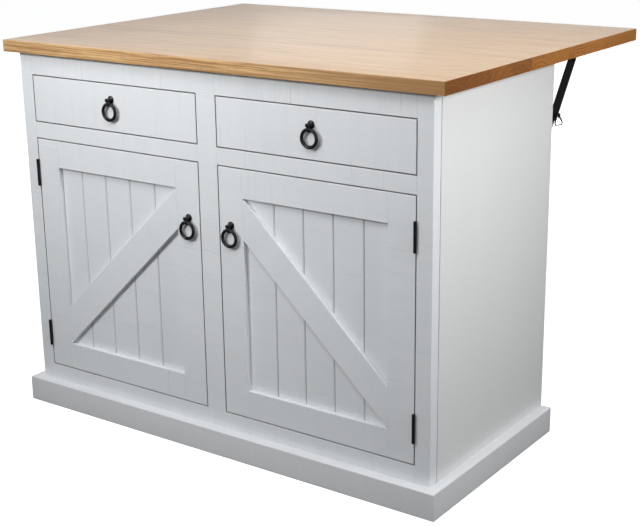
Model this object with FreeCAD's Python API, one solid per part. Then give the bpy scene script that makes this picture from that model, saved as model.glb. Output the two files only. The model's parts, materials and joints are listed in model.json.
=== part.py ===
"""Drop leaf kitchen island: a painted two-door, two-drawer cabinet under an oak top with a folding leaf.

Units are millimetres, +Z is up and +X runs along the top's long edge, to the right of someone who
faces the doors.  The builders below measure Y from the front plane of the face frame, with +Y to the
back.  save() then moves everything so that the row's origin is at the middle of the footprint.
"""
import FreeCAD, Part
import math
import os

from FreeCAD import Vector

# ---------------------------------------------------------------- driving dimensions
OVERALL_DEPTH = 920.0          # front of the plinth to the back edge of the raised leaf
TOTAL_HEIGHT = 914.0           # floor to the top of the worktop
TOP_LENGTH = 1205.0            # worktop and leaf, along X
TOP_THICKNESS = 28.0
TOP_FRONT_OVERHANG = 20.0      # worktop in front of the face frame
LEAF_GAP = 1.5                 # joint between the worktop and the leaf
TOP_EASE = 2.0                 # rounding of the worktop's edges

CABINET_WIDTH = 1138.0         # over the side panels
CABINET_DEPTH = 520.0          # face frame front to back panel
PANEL = 18.0                   # side panels, partition, bottom and shelves
BACK_PANEL = 12.0
PLINTH_HEIGHT = 62.0
PLINTH_PROUD = 25.0
PLINTH_EASE = 3.0
MITRE_OVERCUT = 10.0           # the mitre's cutter beyond the boards

FRAME = 28.0                   # thickness of the face frame and of the doors
OUTER_STILE = 37.0             # visible width of the face frame's members
CENTRE_STILE = 53.0
TOP_RAIL = 52.0
MIDDLE_RAIL = 38.0
BOTTOM_RAIL_TOP = 101.5
BOTTOM_RAIL_FOOT = 20.0
DRAWER_OPENING_FOOT = 720.5
TENON_LENGTH = 20.0
TENON_THICKNESS = 9.0
TENON_SHOULDER = 10.0
REVEAL = 2.5                   # gap all round a door or a drawer front
ARRIS = 1.0                    # rounding of painted edges

DOOR_STILE = 65.0              # visible width of a door's stiles and rails
DOOR_TENON_FRONT = 4.0         # door tenon, behind the door's face
BOARD = 17.0                   # thickness of the tongue-and-groove boards
REBATE = 10.0                  # the boards lap behind the door's frame
BOARD_PITCH = 76.5
BOARD_COUNT = 5
VEE = 2.2                      # depth of the V-groove between boards
TONGUE = 5.0
TONGUE_THICKNESS = 4.0
TONGUE_PLAY = 0.2
BRACE_WIDTH = 68.0

HINGE_HEIGHT = 65.0
HINGE_FROM_END = 50.0          # door end to the nearer end of a hinge
KNUCKLE_RADIUS = 3.4
HINGE_PIN_RADIUS = 2.0
PIN_PLAY = 0.05
KNUCKLE_PROUD = 4.4            # pin axis in front of the face
HINGE_LEAF = 1.1
HINGE_LEAF_DEPTH = 22.0
KNUCKLE_GAP = 0.3

RING_RADIUS = 18.6             # centre line of a pull's ring
RING_BAR = 3.9                 # radius of the ring's bar
RING_STANDOFF = 8.0            # ring in front of the door's face
RING_DROP = 9.0                # eye below the stem's axis
ROSETTE_RADIUS = 8.8
ROSETTE_THICKNESS = 3.0
ROSETTE_EASE = 1.8
STEM_RADIUS = 3.6
STEM_LENGTH = 13.5
STEM_CAP_RADIUS = 4.8
STEM_CAP_LENGTH = 2.5
EYE_RADIUS = 6.7
EYE_HOLE = 4.3
EYE_WIDTH = 5.0
DOOR_PULL_X = 60.5
DOOR_PULL_Z = 551.0
DRAWER_PULL_X = 279.5
DRAWER_PULL_Z = 796.5

DRAWER_FRONT = 20.0
DRAWER_SIDE = 12.0
DRAWER_BOTTOM = 6.0
DRAWER_BOX_DEPTH = 440.0
DRAWER_BOX_FOOT = 732.0
DRAWER_BOX_HEIGHT = 84.0
DRAWER_GROOVE_UP = 8.0         # drawer bottom above the foot of its sides
DRAWER_GROOVE_DEPTH = 6.0
RUNNER_GAP = 13.0              # drawer side to the edge of its opening
RUNNER_LENGTH = 440.0
RUNNER_STEEL = 1.5
CHANNEL_HEIGHT = 35.0
CHANNEL_DEPTH = 9.0
SLIDE_HEIGHT = 28.0
SLIDE_DEPTH = 10.0
RUNNER_AXIS_Z = 774.0
RUNNER_START = 30.0            # runners start behind the face frame
PACKER_HEIGHT = 60.0

SHELF_TOP = 398.0
SHELF_FRONT = 60.0
SHELF_BACK = 476.0
SHELF_PLAY = 1.0
SHELF_PIN_RADIUS = 2.5
SHELF_PIN_LENGTH = 18.0
SHELF_PIN_IN_PANEL = 9.0
SHELF_PIN_SETBACK = 45.0
STRETCHER = 60.0
BATTEN_WIDTH = 40.0
BATTEN_DEPTH = 30.0

CATCH_LENGTH = 40.0
CATCH_HEIGHT = 20.0
CATCH_DEPTH = 17.5
CATCH_Z = 640.0
STRIKE_THICKNESS = 1.0
STRIKE_SIZE = 16.0

# The folding brackets.  The leaf turns about FOLD, which lies as far behind the cabinet as it lies
# below the leaf.  A strut in two links joins the wall leg's foot to the arm, and is straight when the
# leaf is up.  The links are as long as lets the strut fold flat when the leaf hangs.
FOLD_OFFSET = 18.0
ARM_REACH = 142.0              # fold axis to the strut's pivot on the arm
LEG_DROP = 194.0               # fold axis to the strut's pivot on the wall leg
ARM_TAIL = 30.0                # arm beyond the strut's pivot
LINK_WIDTH = 34.0
BRACKET_STEEL = 3.0
LAYER_GAP = 0.4
BRACKET_X = 530.0              # inner face of the wall leg's web
LUG_RADIUS = 9.0
FLANGE_WIDTH = 23.0
LEG_FOOT_MARGIN = 5.0          # wall leg beyond its lugs
LEG_TOP_MARGIN = 3.0
BORE_OVERCUT = 5.0
RIVET_RADIUS = 3.0
RIVET_HEAD_RADIUS = 5.5
RIVET_HEAD = 1.8
COUNTERSINK_RADIUS = 4.5
COUNTERSINK_DEPTH = 1.5
COUNTERSINK_PLAY = 0.35
LINK_PLAY = 0.05
LOOP_WIRE = 1.8                # radius of the release loop's wire
LOOP_GAP = 1.4                 # loop's wire to the upper link
LOOP_CORNER = 4.0              # centre line radius of the loop's corners
LOOP_STUD_RADIUS = 2.0
LOOP_STUD_OFFSET = 10.0        # stud to the outer side of the knee
LOOP_LONG_CORNER = (21.0, -21.5)    # loop's corners from the stud, as (Y, Z)
LOOP_SHORT_CORNER = (-9.0, -17.0)
SCREW_RADIUS = 2.0
SCREW_HEAD_RADIUS = 4.5
SCREW_HEAD = 2.5
SCREW_HEAD_EASE = 1.2
WALL_SCREW_LENGTH = 30.0
ARM_SCREW_LENGTH = 16.0
WALL_SCREW_DROPS = (40.0, 100.0, 160.0)
ARM_SCREW_REACHES = (30.0, 90.0, 150.0)
SCREW_FROM_EDGE = 11.0

# ---------------------------------------------------------------- places worked out from them
ORIGIN_SHIFT = Vector(0, PLINTH_PROUD - OVERALL_DEPTH / 2, 0)
HALF_WIDTH = CABINET_WIDTH / 2
CABINET_TOP = TOTAL_HEIGHT - TOP_THICKNESS
LEAF_FRONT = CABINET_DEPTH + LEAF_GAP
LEAF_BACK = OVERALL_DEPTH - PLINTH_PROUD
PANEL_INSIDE = HALF_WIDTH - PANEL
OPENING_IN = CENTRE_STILE / 2
OPENING_OUT = HALF_WIDTH - OUTER_STILE
DRAWER_OPENING_TOP = CABINET_TOP - TOP_RAIL
DOOR_OPENING_TOP = DRAWER_OPENING_FOOT - MIDDLE_RAIL
INSIDE_BACK = CABINET_DEPTH - BACK_PANEL
FRONT_IN = OPENING_IN + REVEAL
FRONT_OUT = OPENING_OUT - REVEAL
DOOR_FOOT = BOTTOM_RAIL_TOP + REVEAL
DOOR_TOP = DOOR_OPENING_TOP - REVEAL
FIELD_IN = FRONT_IN + DOOR_STILE
FIELD_OUT = FRONT_OUT - DOOR_STILE
FIELD_FOOT = DOOR_FOOT + DOOR_STILE
FIELD_TOP = DOOR_TOP - DOOR_STILE
BOARD_FACE = FRAME - BOARD
HINGE_X = (FRONT_OUT + OPENING_OUT) / 2
HINGE_FEET = (DOOR_FOOT + HINGE_FROM_END, DOOR_TOP - HINGE_FROM_END - HINGE_HEIGHT)
BOX_IN = OPENING_IN + RUNNER_GAP
BOX_OUT = OPENING_OUT - RUNNER_GAP

FOLD_Y = CABINET_DEPTH + FOLD_OFFSET
FOLD_Z = CABINET_TOP - FOLD_OFFSET
STRUT_LENGTH = math.hypot(ARM_REACH, LEG_DROP)
LOWER_LINK = (STRUT_LENGTH - (LEG_DROP - ARM_REACH)) / 2
UPPER_LINK = STRUT_LENGTH - LOWER_LINK
STRUT_ALONG = Vector(0, ARM_REACH / STRUT_LENGTH, LEG_DROP / STRUT_LENGTH)
STRUT_OUT = Vector(0, STRUT_ALONG.z, -STRUT_ALONG.y)
FOLD_PIVOT = Vector(0, FOLD_Y, FOLD_Z)
ARM_PIVOT = Vector(0, FOLD_Y + ARM_REACH, FOLD_Z)
LEG_PIVOT = Vector(0, FOLD_Y, FOLD_Z - LEG_DROP)
KNEE = LEG_PIVOT + STRUT_ALONG * LOWER_LINK
LOOP_STUD = KNEE + STRUT_OUT * LOOP_STUD_OFFSET
LAYER = BRACKET_STEEL + LAYER_GAP
LEG_X = BRACKET_X
LOWER_X = LEG_X + LAYER
UPPER_X = LOWER_X + LAYER
ARM_X = UPPER_X + LAYER
LOOP_X = UPPER_X + BRACKET_STEEL + LOOP_GAP + LOOP_WIRE


# ---------------------------------------------------------------- helpers
def box(x, y, z):
    """A block between the pairs of limits x, y and z."""
    return Part.makeBox(x[1] - x[0], y[1] - y[0], z[1] - z[0], Vector(x[0], y[0], z[0]))


def rod(start, direction, radius, length):
    return Part.makeCylinder(radius, length, start, direction)


def rod_x(point, x0, x1, radius):
    """A round bar along X through the (Y, Z) of point, from x0 to x1."""
    return rod(Vector(x0, point.y, point.z), Vector(1, 0, 0), radius, x1 - x0)


def cone_x(point, x0, x1, r0, r1):
    return Part.makeCone(r0, r1, x1 - x0, Vector(x0, point.y, point.z), Vector(1, 0, 0))


def fused(shapes):
    whole = shapes[0]
    for shape in shapes[1:]:
        whole = whole.fuse(shape)
    return whole.removeSplitter()


def cut(shape, tools):
    for tool in tools:
        shape = shape.cut(tool)
    return shape


def eased(shape, radius, wanted):
    """Round the edges that wanted(edge) picks."""
    return shape.makeFillet(radius, [edge for edge in shape.Edges if wanted(edge)])


def along(edge, axis):
    """True for a straight edge that runs along the axis "x", "y" or "z"."""
    first = edge.Vertexes[0].Point
    last = edge.Vertexes[-1].Point
    others = [name for name in "xyz" if name != axis]
    straight = all(abs(getattr(first, name) - getattr(last, name)) < 1e-6 for name in others)
    return straight and abs(getattr(first, axis) - getattr(last, axis)) > 1e-6


def at(edge, axis, value):
    """True where the whole edge lies at one value of the axis."""
    return all(abs(getattr(vertex.Point, axis) - value) < 1e-6 for vertex in edge.Vertexes)


def mirrored(shape):
    return shape.mirror(Vector(0, 0, 0), Vector(1, 0, 0))


def pair(shape):
    """The right-hand piece and its mirror image, as two solids."""
    return [mirrored(shape), shape]


def save(name, shapes):
    """Write one node, moved to the row's origin."""
    solids = [solid for shape in shapes for solid in shape.Solids]
    for solid in solids:
        if not solid.isValid() or solid.Volume <= 0:
            raise ValueError(name + " has a bad solid")
    whole = solids[0] if len(solids) == 1 else Part.makeCompound(solids)
    whole = whole.copy()
    whole.translate(ORIGIN_SHIFT)
    whole.exportStep("parts/" + name + ".step")


def save_sides(name, shapes):
    """Write a right-hand node and its mirror image, each named for its side."""
    save(name.format("right"), shapes)
    save(name.format("left"), [mirrored(shape) for shape in shapes])


# ---------------------------------------------------------------- face frame
def face_tenon(x, z):
    front = (FRAME - TENON_THICKNESS) / 2
    return box(x, (front, front + TENON_THICKNESS), z)


def rail_tenons(x_in, x_out, foot, top):
    """Tenons at the two ends of a rail that shows from x_in to x_out."""
    z = (foot + TENON_SHOULDER, top - TENON_SHOULDER)
    return [face_tenon((x_in - TENON_LENGTH, x_in), z), face_tenon((x_out, x_out + TENON_LENGTH), z)]


def ease_rail(rail, foot, top):
    """Round a rail's front edges at the heights foot and top."""
    front_edges = [edge for edge in rail.Edges if along(edge, "x") and at(edge, "y", 0)]
    return rail.makeFillet(ARRIS, [edge for edge in front_edges if at(edge, "z", foot) or at(edge, "z", top)])


def face_frame():
    top_tenons = rail_tenons(-OPENING_OUT, OPENING_OUT, DRAWER_OPENING_TOP, CABINET_TOP)
    bottom_tenons = rail_tenons(-OPENING_OUT, OPENING_OUT, BOTTOM_RAIL_FOOT, BOTTOM_RAIL_TOP)
    middle_tenons = rail_tenons(OPENING_IN, OPENING_OUT, DOOR_OPENING_TOP, DRAWER_OPENING_FOOT)
    stile_x = (TENON_SHOULDER - OPENING_IN, OPENING_IN - TENON_SHOULDER)
    upper_tenon = face_tenon(stile_x, (DRAWER_OPENING_TOP, DRAWER_OPENING_TOP + TENON_LENGTH))
    lower_tenon = face_tenon(stile_x, (BOTTOM_RAIL_TOP - TENON_LENGTH, BOTTOM_RAIL_TOP))

    stile = box((OPENING_OUT, HALF_WIDTH), (0, FRAME), (0, CABINET_TOP))
    stile = eased(stile, ARRIS, lambda e: along(e, "z") and at(e, "y", 0))
    stile = cut(stile, [top_tenons[1], bottom_tenons[1], middle_tenons[1]])
    save_sides("face_stile_{}", [stile])

    centre = box((-OPENING_IN, OPENING_IN), (0, FRAME), (BOTTOM_RAIL_TOP, DRAWER_OPENING_TOP))
    centre = eased(centre, ARRIS, lambda e: along(e, "z") and at(e, "y", 0))
    centre = cut(centre, [middle_tenons[0], mirrored(middle_tenons[0])])
    save("face_stile_centre", [fused([centre, upper_tenon, lower_tenon])])

    top = box((-OPENING_OUT, OPENING_OUT), (0, FRAME), (DRAWER_OPENING_TOP, CABINET_TOP))
    top = cut(ease_rail(top, DRAWER_OPENING_TOP, DRAWER_OPENING_TOP), [upper_tenon])
    save("face_rail_top", [fused([top] + top_tenons)])

    bottom = box((-OPENING_OUT, OPENING_OUT), (0, FRAME), (BOTTOM_RAIL_FOOT, BOTTOM_RAIL_TOP))
    bottom = cut(ease_rail(bottom, BOTTOM_RAIL_TOP, BOTTOM_RAIL_TOP), [lower_tenon])
    save("face_rail_bottom", [fused([bottom] + bottom_tenons)])

    middle = box((OPENING_IN, OPENING_OUT), (0, FRAME), (DOOR_OPENING_TOP, DRAWER_OPENING_FOOT))
    middle = ease_rail(middle, DOOR_OPENING_TOP, DRAWER_OPENING_FOOT)
    save("face_rails_middle", pair(fused([middle] + middle_tenons)))


# ---------------------------------------------------------------- carcass
def shelf_pin_points():
    """Where the right-hand shelf's four pins are: a panel's face, its direction inwards, and Y."""
    pins = []
    for face, inwards in ((PANEL_INSIDE, -1), (PANEL / 2, 1)):
        for y in (SHELF_FRONT + SHELF_PIN_SETBACK, SHELF_BACK - SHELF_PIN_SETBACK):
            pins.append((face, inwards, y))
    return pins


def shelf_pin(face, inwards, y):
    """A round pin, half in its panel and half under the shelf."""
    near = face - inwards * SHELF_PIN_IN_PANEL
    start = min(near, near + inwards * SHELF_PIN_LENGTH)
    centre = Vector(0, y, SHELF_TOP - PANEL - SHELF_PIN_RADIUS)
    return rod_x(centre, start, start + SHELF_PIN_LENGTH, SHELF_PIN_RADIUS)


def screw_y(x, z):
    """A screw through the wall leg's flange into the cabinet's back."""
    seat = CABINET_DEPTH + BRACKET_STEEL
    head = rod(Vector(x, seat, z), Vector(0, 1, 0), SCREW_HEAD_RADIUS, SCREW_HEAD)
    head = eased(head, SCREW_HEAD_EASE, lambda e: at(e, "y", seat + SCREW_HEAD))
    shank = rod(Vector(x, seat, z), Vector(0, -1, 0), SCREW_RADIUS, WALL_SCREW_LENGTH)
    return fused([head, shank])


def wall_screws():
    x = BRACKET_X + BRACKET_STEEL - FLANGE_WIDTH + SCREW_FROM_EDGE
    return [screw_y(x, FOLD_Z - drop) for drop in WALL_SCREW_DROPS]


def carcass():
    pins = [shelf_pin(*place) for place in shelf_pin_points()]
    screws = wall_screws()
    inside_top = CABINET_TOP - PANEL

    side = box((PANEL_INSIDE, HALF_WIDTH), (FRAME, CABINET_DEPTH), (0, CABINET_TOP))
    save_sides("side_panel_{}", [cut(side, pins)])

    inside_x = (-PANEL_INSIDE, PANEL_INSIDE)
    back = box(inside_x, (INSIDE_BACK, CABINET_DEPTH), (BOTTOM_RAIL_FOOT, CABINET_TOP))
    save("back_panel", [cut(back, screws + [mirrored(screw) for screw in screws])])

    partition = box((-PANEL / 2, PANEL / 2), (FRAME, INSIDE_BACK), (BOTTOM_RAIL_TOP, CABINET_TOP))
    save("centre_partition", [cut(partition, pins + [mirrored(pin) for pin in pins])])

    floor_z = (BOTTOM_RAIL_TOP - PANEL, BOTTOM_RAIL_TOP)
    save("bottom_panel", [box(inside_x, (FRAME, INSIDE_BACK), floor_z)])

    rails = []
    for front in (FRAME, INSIDE_BACK - STRETCHER):
        rails.append(box((PANEL / 2, PANEL_INSIDE), (front, front + STRETCHER), (inside_top, CABINET_TOP)))
    batten_y = (INSIDE_BACK - BATTEN_DEPTH, INSIDE_BACK)
    batten = box((PANEL_INSIDE - BATTEN_WIDTH, PANEL_INSIDE), batten_y, (BOTTOM_RAIL_TOP, inside_top))
    rails.append(cut(batten, screws))
    save("carcass_rails", [solid for rail in rails for solid in pair(rail)])

    shelf_x = (PANEL / 2 + SHELF_PLAY, PANEL_INSIDE - SHELF_PLAY)
    shelf = box(shelf_x, (SHELF_FRONT, SHELF_BACK), (SHELF_TOP - PANEL, SHELF_TOP))
    shelf = eased(shelf, ARRIS, lambda e: along(e, "x") and at(e, "y", SHELF_FRONT))
    save("shelves", pair(shelf))
    save("shelf_pins", [solid for pin in pins for solid in pair(pin)])


def front_waste(outer):
    """What the mitre takes off the front end of the right-hand plinth board."""
    corner = outer + MITRE_OVERCUT
    front = HALF_WIDTH - corner
    corners = ((HALF_WIDTH, 0), (HALF_WIDTH, front), (corner, front))
    outline = [Vector(x, y, -MITRE_OVERCUT) for x, y in corners]
    waste = Part.Face(Part.makePolygon(outline + outline[:1]))
    return waste.extrude(Vector(0, 0, PLINTH_HEIGHT + 2 * MITRE_OVERCUT))


def plinth():
    """Three boards that wrap the cabinet's foot, mitred at the two front corners."""
    outer = HALF_WIDTH + PLINTH_PROUD
    inner = -MITRE_OVERCUT
    corner = PLINTH_PROUD + MITRE_OVERCUT
    mitre_points = [(inner, -inner), (corner, -inner), (corner, -corner)]
    outline = [Vector(HALF_WIDTH + x, y, inner) for x, y in mitre_points]
    wedge = Part.Face(Part.makePolygon(outline + outline[:1]))
    wedge = wedge.extrude(Vector(0, 0, PLINTH_HEIGHT + 2 * MITRE_OVERCUT))

    front = box((-outer, outer), (-PLINTH_PROUD, 0), (0, PLINTH_HEIGHT))
    front = eased(front, PLINTH_EASE, lambda e: at(e, "y", -PLINTH_PROUD) and at(e, "z", PLINTH_HEIGHT))
    save("plinth_front", [cut(front, [wedge, mirrored(wedge)])])

    side = box((HALF_WIDTH, outer), (-PLINTH_PROUD, CABINET_DEPTH), (0, PLINTH_HEIGHT))
    side = eased(side, PLINTH_EASE, lambda e: at(e, "x", outer) and at(e, "z", PLINTH_HEIGHT))
    save("plinth_sides", pair(cut(side, [front_waste(outer)])))


# ---------------------------------------------------------------- top and leaf
def slab(front, back):
    """One oak panel of the top, its upper and lower edges eased."""
    half = TOP_LENGTH / 2
    board = box((-half, half), (front, back), (CABINET_TOP, TOTAL_HEIGHT))
    return eased(board, TOP_EASE, lambda e: not along(e, "z"))


def screw_z(x, y):
    """A screw through the arm's flange up into the leaf."""
    seat = CABINET_TOP - BRACKET_STEEL
    head = rod(Vector(x, y, seat), Vector(0, 0, -1), SCREW_HEAD_RADIUS, SCREW_HEAD)
    head = eased(head, SCREW_HEAD_EASE, lambda e: at(e, "z", seat - SCREW_HEAD))
    shank = rod(Vector(x, y, seat), Vector(0, 0, 1), SCREW_RADIUS, ARM_SCREW_LENGTH)
    return fused([head, shank])


def arm_screws():
    x = ARM_X + BRACKET_STEEL + SCREW_FROM_EDGE
    return [screw_z(x, FOLD_Y + reach) for reach in ARM_SCREW_REACHES]


def top_and_leaf():
    save("worktop", [slab(-TOP_FRONT_OVERHANG, CABINET_DEPTH)])
    screws = arm_screws()
    screws += [mirrored(screw) for screw in screws]
    save("drop_leaf", [cut(slab(LEAF_FRONT, LEAF_BACK), screws)])
    save("bracket_arm_screws", screws)


# ---------------------------------------------------------------- doors
def door_frame():
    """A door's stiles and rails, rebated behind for the boards."""
    depth = (0, FRAME)
    rebate = box((FIELD_IN - REBATE, FIELD_OUT + REBATE), (BOARD_FACE, FRAME),
                 (FIELD_FOOT - REBATE, FIELD_TOP + REBATE))
    tenon_y = (DOOR_TENON_FRONT, DOOR_TENON_FRONT + TENON_THICKNESS)
    rails = []
    tenons = []
    for foot in (DOOR_FOOT, FIELD_TOP):
        z = (foot, foot + DOOR_STILE)
        rail = box((FIELD_IN, FIELD_OUT), depth, z)
        rail = eased(rail, ARRIS, lambda e: along(e, "x") and at(e, "y", 0))
        tenon_x = (FIELD_IN - 2 * TENON_LENGTH, FIELD_OUT + 2 * TENON_LENGTH)
        tenon = box(tenon_x, tenon_y, (z[0] + TENON_SHOULDER, z[1] - TENON_SHOULDER))
        rails.append(fused([cut(rail, [rebate]), tenon]))
        tenons.append(tenon)
    stiles = []
    for x in ((FRONT_IN, FIELD_IN), (FIELD_OUT, FRONT_OUT)):
        stile = box(x, depth, (DOOR_FOOT, DOOR_TOP))
        stile = eased(stile, ARRIS, lambda e: along(e, "z") and at(e, "y", 0))
        stiles.append(cut(stile, [rebate] + tenons))
    return stiles, rails


def door_boards():
    """Tongue-and-groove boards with V-joints, in the frame's rebate."""
    joints = [FIELD_IN + BOARD_PITCH * (step + 1) for step in range(BOARD_COUNT - 1)]
    edges = [FIELD_IN - REBATE] + joints + [FIELD_OUT + REBATE]
    middle = (BOARD_FACE + FRAME) / 2
    z = (FIELD_FOOT - REBATE, FIELD_TOP + REBATE)
    boards = []
    for left, right in zip(edges, edges[1:]):
        board = box((left, right), (BOARD_FACE, FRAME), z)
        vees = [edge for edge in board.Edges if along(edge, "z") and at(edge, "y", BOARD_FACE)
                and (at(edge, "x", left) and left in joints or at(edge, "x", right) and right in joints)]
        board = board.makeChamfer(VEE, vees)
        tongue_y = (middle - TONGUE_THICKNESS / 2, middle + TONGUE_THICKNESS / 2)
        groove_y = (tongue_y[0] - TONGUE_PLAY, tongue_y[1] + TONGUE_PLAY)
        if left in joints:
            board = board.cut(box((left, left + TONGUE + TONGUE_PLAY), groove_y, z))
        if right in joints:
            board = fused([board, box((right, right + TONGUE), tongue_y, z)])
        boards.append(board)
    return boards


def door_brace():
    """The diagonal brace: from the hinge side's lower corner to the other side's upper corner."""
    width = FIELD_OUT - FIELD_IN
    height = FIELD_TOP - FIELD_FOOT
    angle = math.acos(BRACE_WIDTH / math.hypot(width, height)) - math.atan2(width, height)
    foot_step = BRACE_WIDTH / math.cos(angle)
    points = [(FIELD_OUT, FIELD_FOOT), (FIELD_OUT, FIELD_FOOT + foot_step),
              (FIELD_IN, FIELD_TOP), (FIELD_IN, FIELD_TOP - foot_step)]
    outline = [Vector(x, 0, z) for x, z in points]
    brace = Part.Face(Part.makePolygon(outline + outline[:1])).extrude(Vector(0, BOARD_FACE, 0))
    return eased(brace, ARRIS, lambda e: at(e, "y", 0) and not along(e, "z"))


def knuckle(foot, top, bore):
    """One knuckle of a hinge, and the bore through it."""
    axis = Vector(HINGE_X, -KNUCKLE_PROUD, foot)
    up = Vector(0, 0, 1)
    return rod(axis, up, KNUCKLE_RADIUS, top - foot), rod(axis, up, bore, top - foot)


def hinge_half(foot, spans, leaf_x, bore):
    """A hinge leaf in the gap beside the door, with its own knuckles over the spans of height."""
    own = [(foot + low, foot + high) for low, high in spans]
    leaf = box(leaf_x, (-KNUCKLE_PROUD, HINGE_LEAF_DEPTH), (foot, foot + HINGE_HEIGHT))
    axis = Vector(HINGE_X, -KNUCKLE_PROUD, foot)
    sweep = rod(axis, Vector(0, 0, 1), KNUCKLE_RADIUS + KNUCKLE_GAP, HINGE_HEIGHT)
    reach = HINGE_LEAF_DEPTH
    for low, high in own:
        sweep = sweep.cut(box((HINGE_X - reach, HINGE_X + reach), (-reach, reach), (low, high)))
    half = leaf.cut(sweep)
    for low, high in own:
        barrel, hole = knuckle(low, high, bore)
        half = half.fuse(barrel).cut(hole)
    return half.removeSplitter()


def hinges():
    third = HINGE_HEIGHT / 3
    frame_spans = ((0, third), (2 * third, HINGE_HEIGHT))
    door_spans = ((third + KNUCKLE_GAP, 2 * third - KNUCKLE_GAP),)
    frame_x = (OPENING_OUT - HINGE_LEAF, OPENING_OUT)
    door_x = (FRONT_OUT, FRONT_OUT + HINGE_LEAF)
    frame_leaves = []
    door_leaves = []
    pins = []
    for foot in HINGE_FEET:
        frame_leaves.append(hinge_half(foot, frame_spans, frame_x, HINGE_PIN_RADIUS))
        door_leaves.append(hinge_half(foot, door_spans, door_x, HINGE_PIN_RADIUS + PIN_PLAY))
        axis = Vector(HINGE_X, -KNUCKLE_PROUD, foot)
        pins.append(rod(axis, Vector(0, 0, 1), HINGE_PIN_RADIUS, HINGE_HEIGHT))
    save("hinge_frame_leaves", [solid for leaf in frame_leaves for solid in pair(leaf)])
    save("hinge_pins", [solid for pin in pins for solid in pair(pin)])
    return door_leaves


def pull_post(x, z):
    """A pull's rosette and stem, with the eye that its ring hangs in."""
    out = Vector(0, -1, 0)
    rosette = rod(Vector(x, 0, z), out, ROSETTE_RADIUS, ROSETTE_THICKNESS)
    rosette = eased(rosette, ROSETTE_EASE, lambda e: at(e, "y", -ROSETTE_THICKNESS))
    stem = rod(Vector(x, 0, z), out, STEM_RADIUS, STEM_LENGTH)
    cap = rod(Vector(x, -STEM_LENGTH, z), out, STEM_CAP_RADIUS, STEM_CAP_LENGTH)
    cap = eased(cap, ARRIS, lambda e: at(e, "y", -STEM_LENGTH - STEM_CAP_LENGTH))
    centre = Vector(0, -RING_STANDOFF, z - RING_DROP)
    eye = rod_x(centre, x - EYE_WIDTH / 2, x + EYE_WIDTH / 2, EYE_RADIUS)
    hole = rod_x(centre, x - EYE_WIDTH, x + EYE_WIDTH, EYE_HOLE)
    return fused([rosette, stem, cap, eye]).cut(hole)


def pull_ring(x, z):
    centre = Vector(x, -RING_STANDOFF, z - RING_DROP - RING_RADIUS)
    return Part.makeTorus(RING_RADIUS, RING_BAR, centre, Vector(0, 1, 0))


def doors():
    stiles, rails = door_frame()
    save_sides("door_{}_stiles", stiles)
    save_sides("door_{}_rails", rails)
    save_sides("door_{}_boards", door_boards())
    save_sides("door_{}_brace", [door_brace()])
    save_sides("door_{}_hinge_leaves", hinges())
    save_sides("door_{}_pull_post", [pull_post(DOOR_PULL_X, DOOR_PULL_Z)])
    save_sides("door_{}_pull_ring", [pull_ring(DOOR_PULL_X, DOOR_PULL_Z)])

    catch_back = FRAME + STRIKE_THICKNESS + LAYER_GAP
    catch_z = (CATCH_Z - CATCH_HEIGHT / 2, CATCH_Z + CATCH_HEIGHT / 2)
    catch = box((PANEL / 2, PANEL / 2 + CATCH_LENGTH), (catch_back, catch_back + CATCH_DEPTH), catch_z)
    catch = eased(catch, ARRIS, lambda e: at(e, "y", catch_back))
    save("door_catches", pair(catch))
    strike_x = PANEL / 2 + CATCH_LENGTH - STRIKE_SIZE
    strike_z = (CATCH_Z - STRIKE_SIZE / 2, CATCH_Z + STRIKE_SIZE / 2)
    strike = box((strike_x, strike_x + STRIKE_SIZE), (FRAME, FRAME + STRIKE_THICKNESS), strike_z)
    save_sides("door_{}_strike", [strike])


# ---------------------------------------------------------------- drawers
def drawer_box():
    """A drawer's two sides, front, back and bottom, behind its face."""
    y = (DRAWER_FRONT, DRAWER_FRONT + DRAWER_BOX_DEPTH)
    z = (DRAWER_BOX_FOOT, DRAWER_BOX_FOOT + DRAWER_BOX_HEIGHT)
    inner_x = (BOX_IN + DRAWER_SIDE, BOX_OUT - DRAWER_SIDE)
    lip = DRAWER_SIDE - DRAWER_GROOVE_DEPTH
    bottom_z = (z[0] + DRAWER_GROOVE_UP, z[0] + DRAWER_GROOVE_UP + DRAWER_BOTTOM)
    bottom = box((BOX_IN + lip, BOX_OUT - lip), (y[0] + lip, y[1] - lip), bottom_z)
    boards = [box((BOX_IN, inner_x[0]), y, z), box((inner_x[1], BOX_OUT), y, z),
              box(inner_x, (y[0], y[0] + DRAWER_SIDE), z), box(inner_x, (y[1] - DRAWER_SIDE, y[1]), z)]
    return [board.cut(bottom) for board in boards] + [bottom]


def section_along_y(x_web, x_tip, height, y0):
    """A rolled steel channel along Y: its web at x_web, and flanges that reach to x_tip."""
    inwards = 1 if x_tip > x_web else -1
    web = sorted((x_web, x_web + inwards * RUNNER_STEEL))
    flange = sorted((x_web, x_tip))
    y = (y0, y0 + RUNNER_LENGTH)
    z = (RUNNER_AXIS_Z - height / 2, RUNNER_AXIS_Z + height / 2)
    return fused([box(web, y, z), box(flange, y, (z[0], z[0] + RUNNER_STEEL)),
                  box(flange, y, (z[1] - RUNNER_STEEL, z[1]))])


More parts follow.
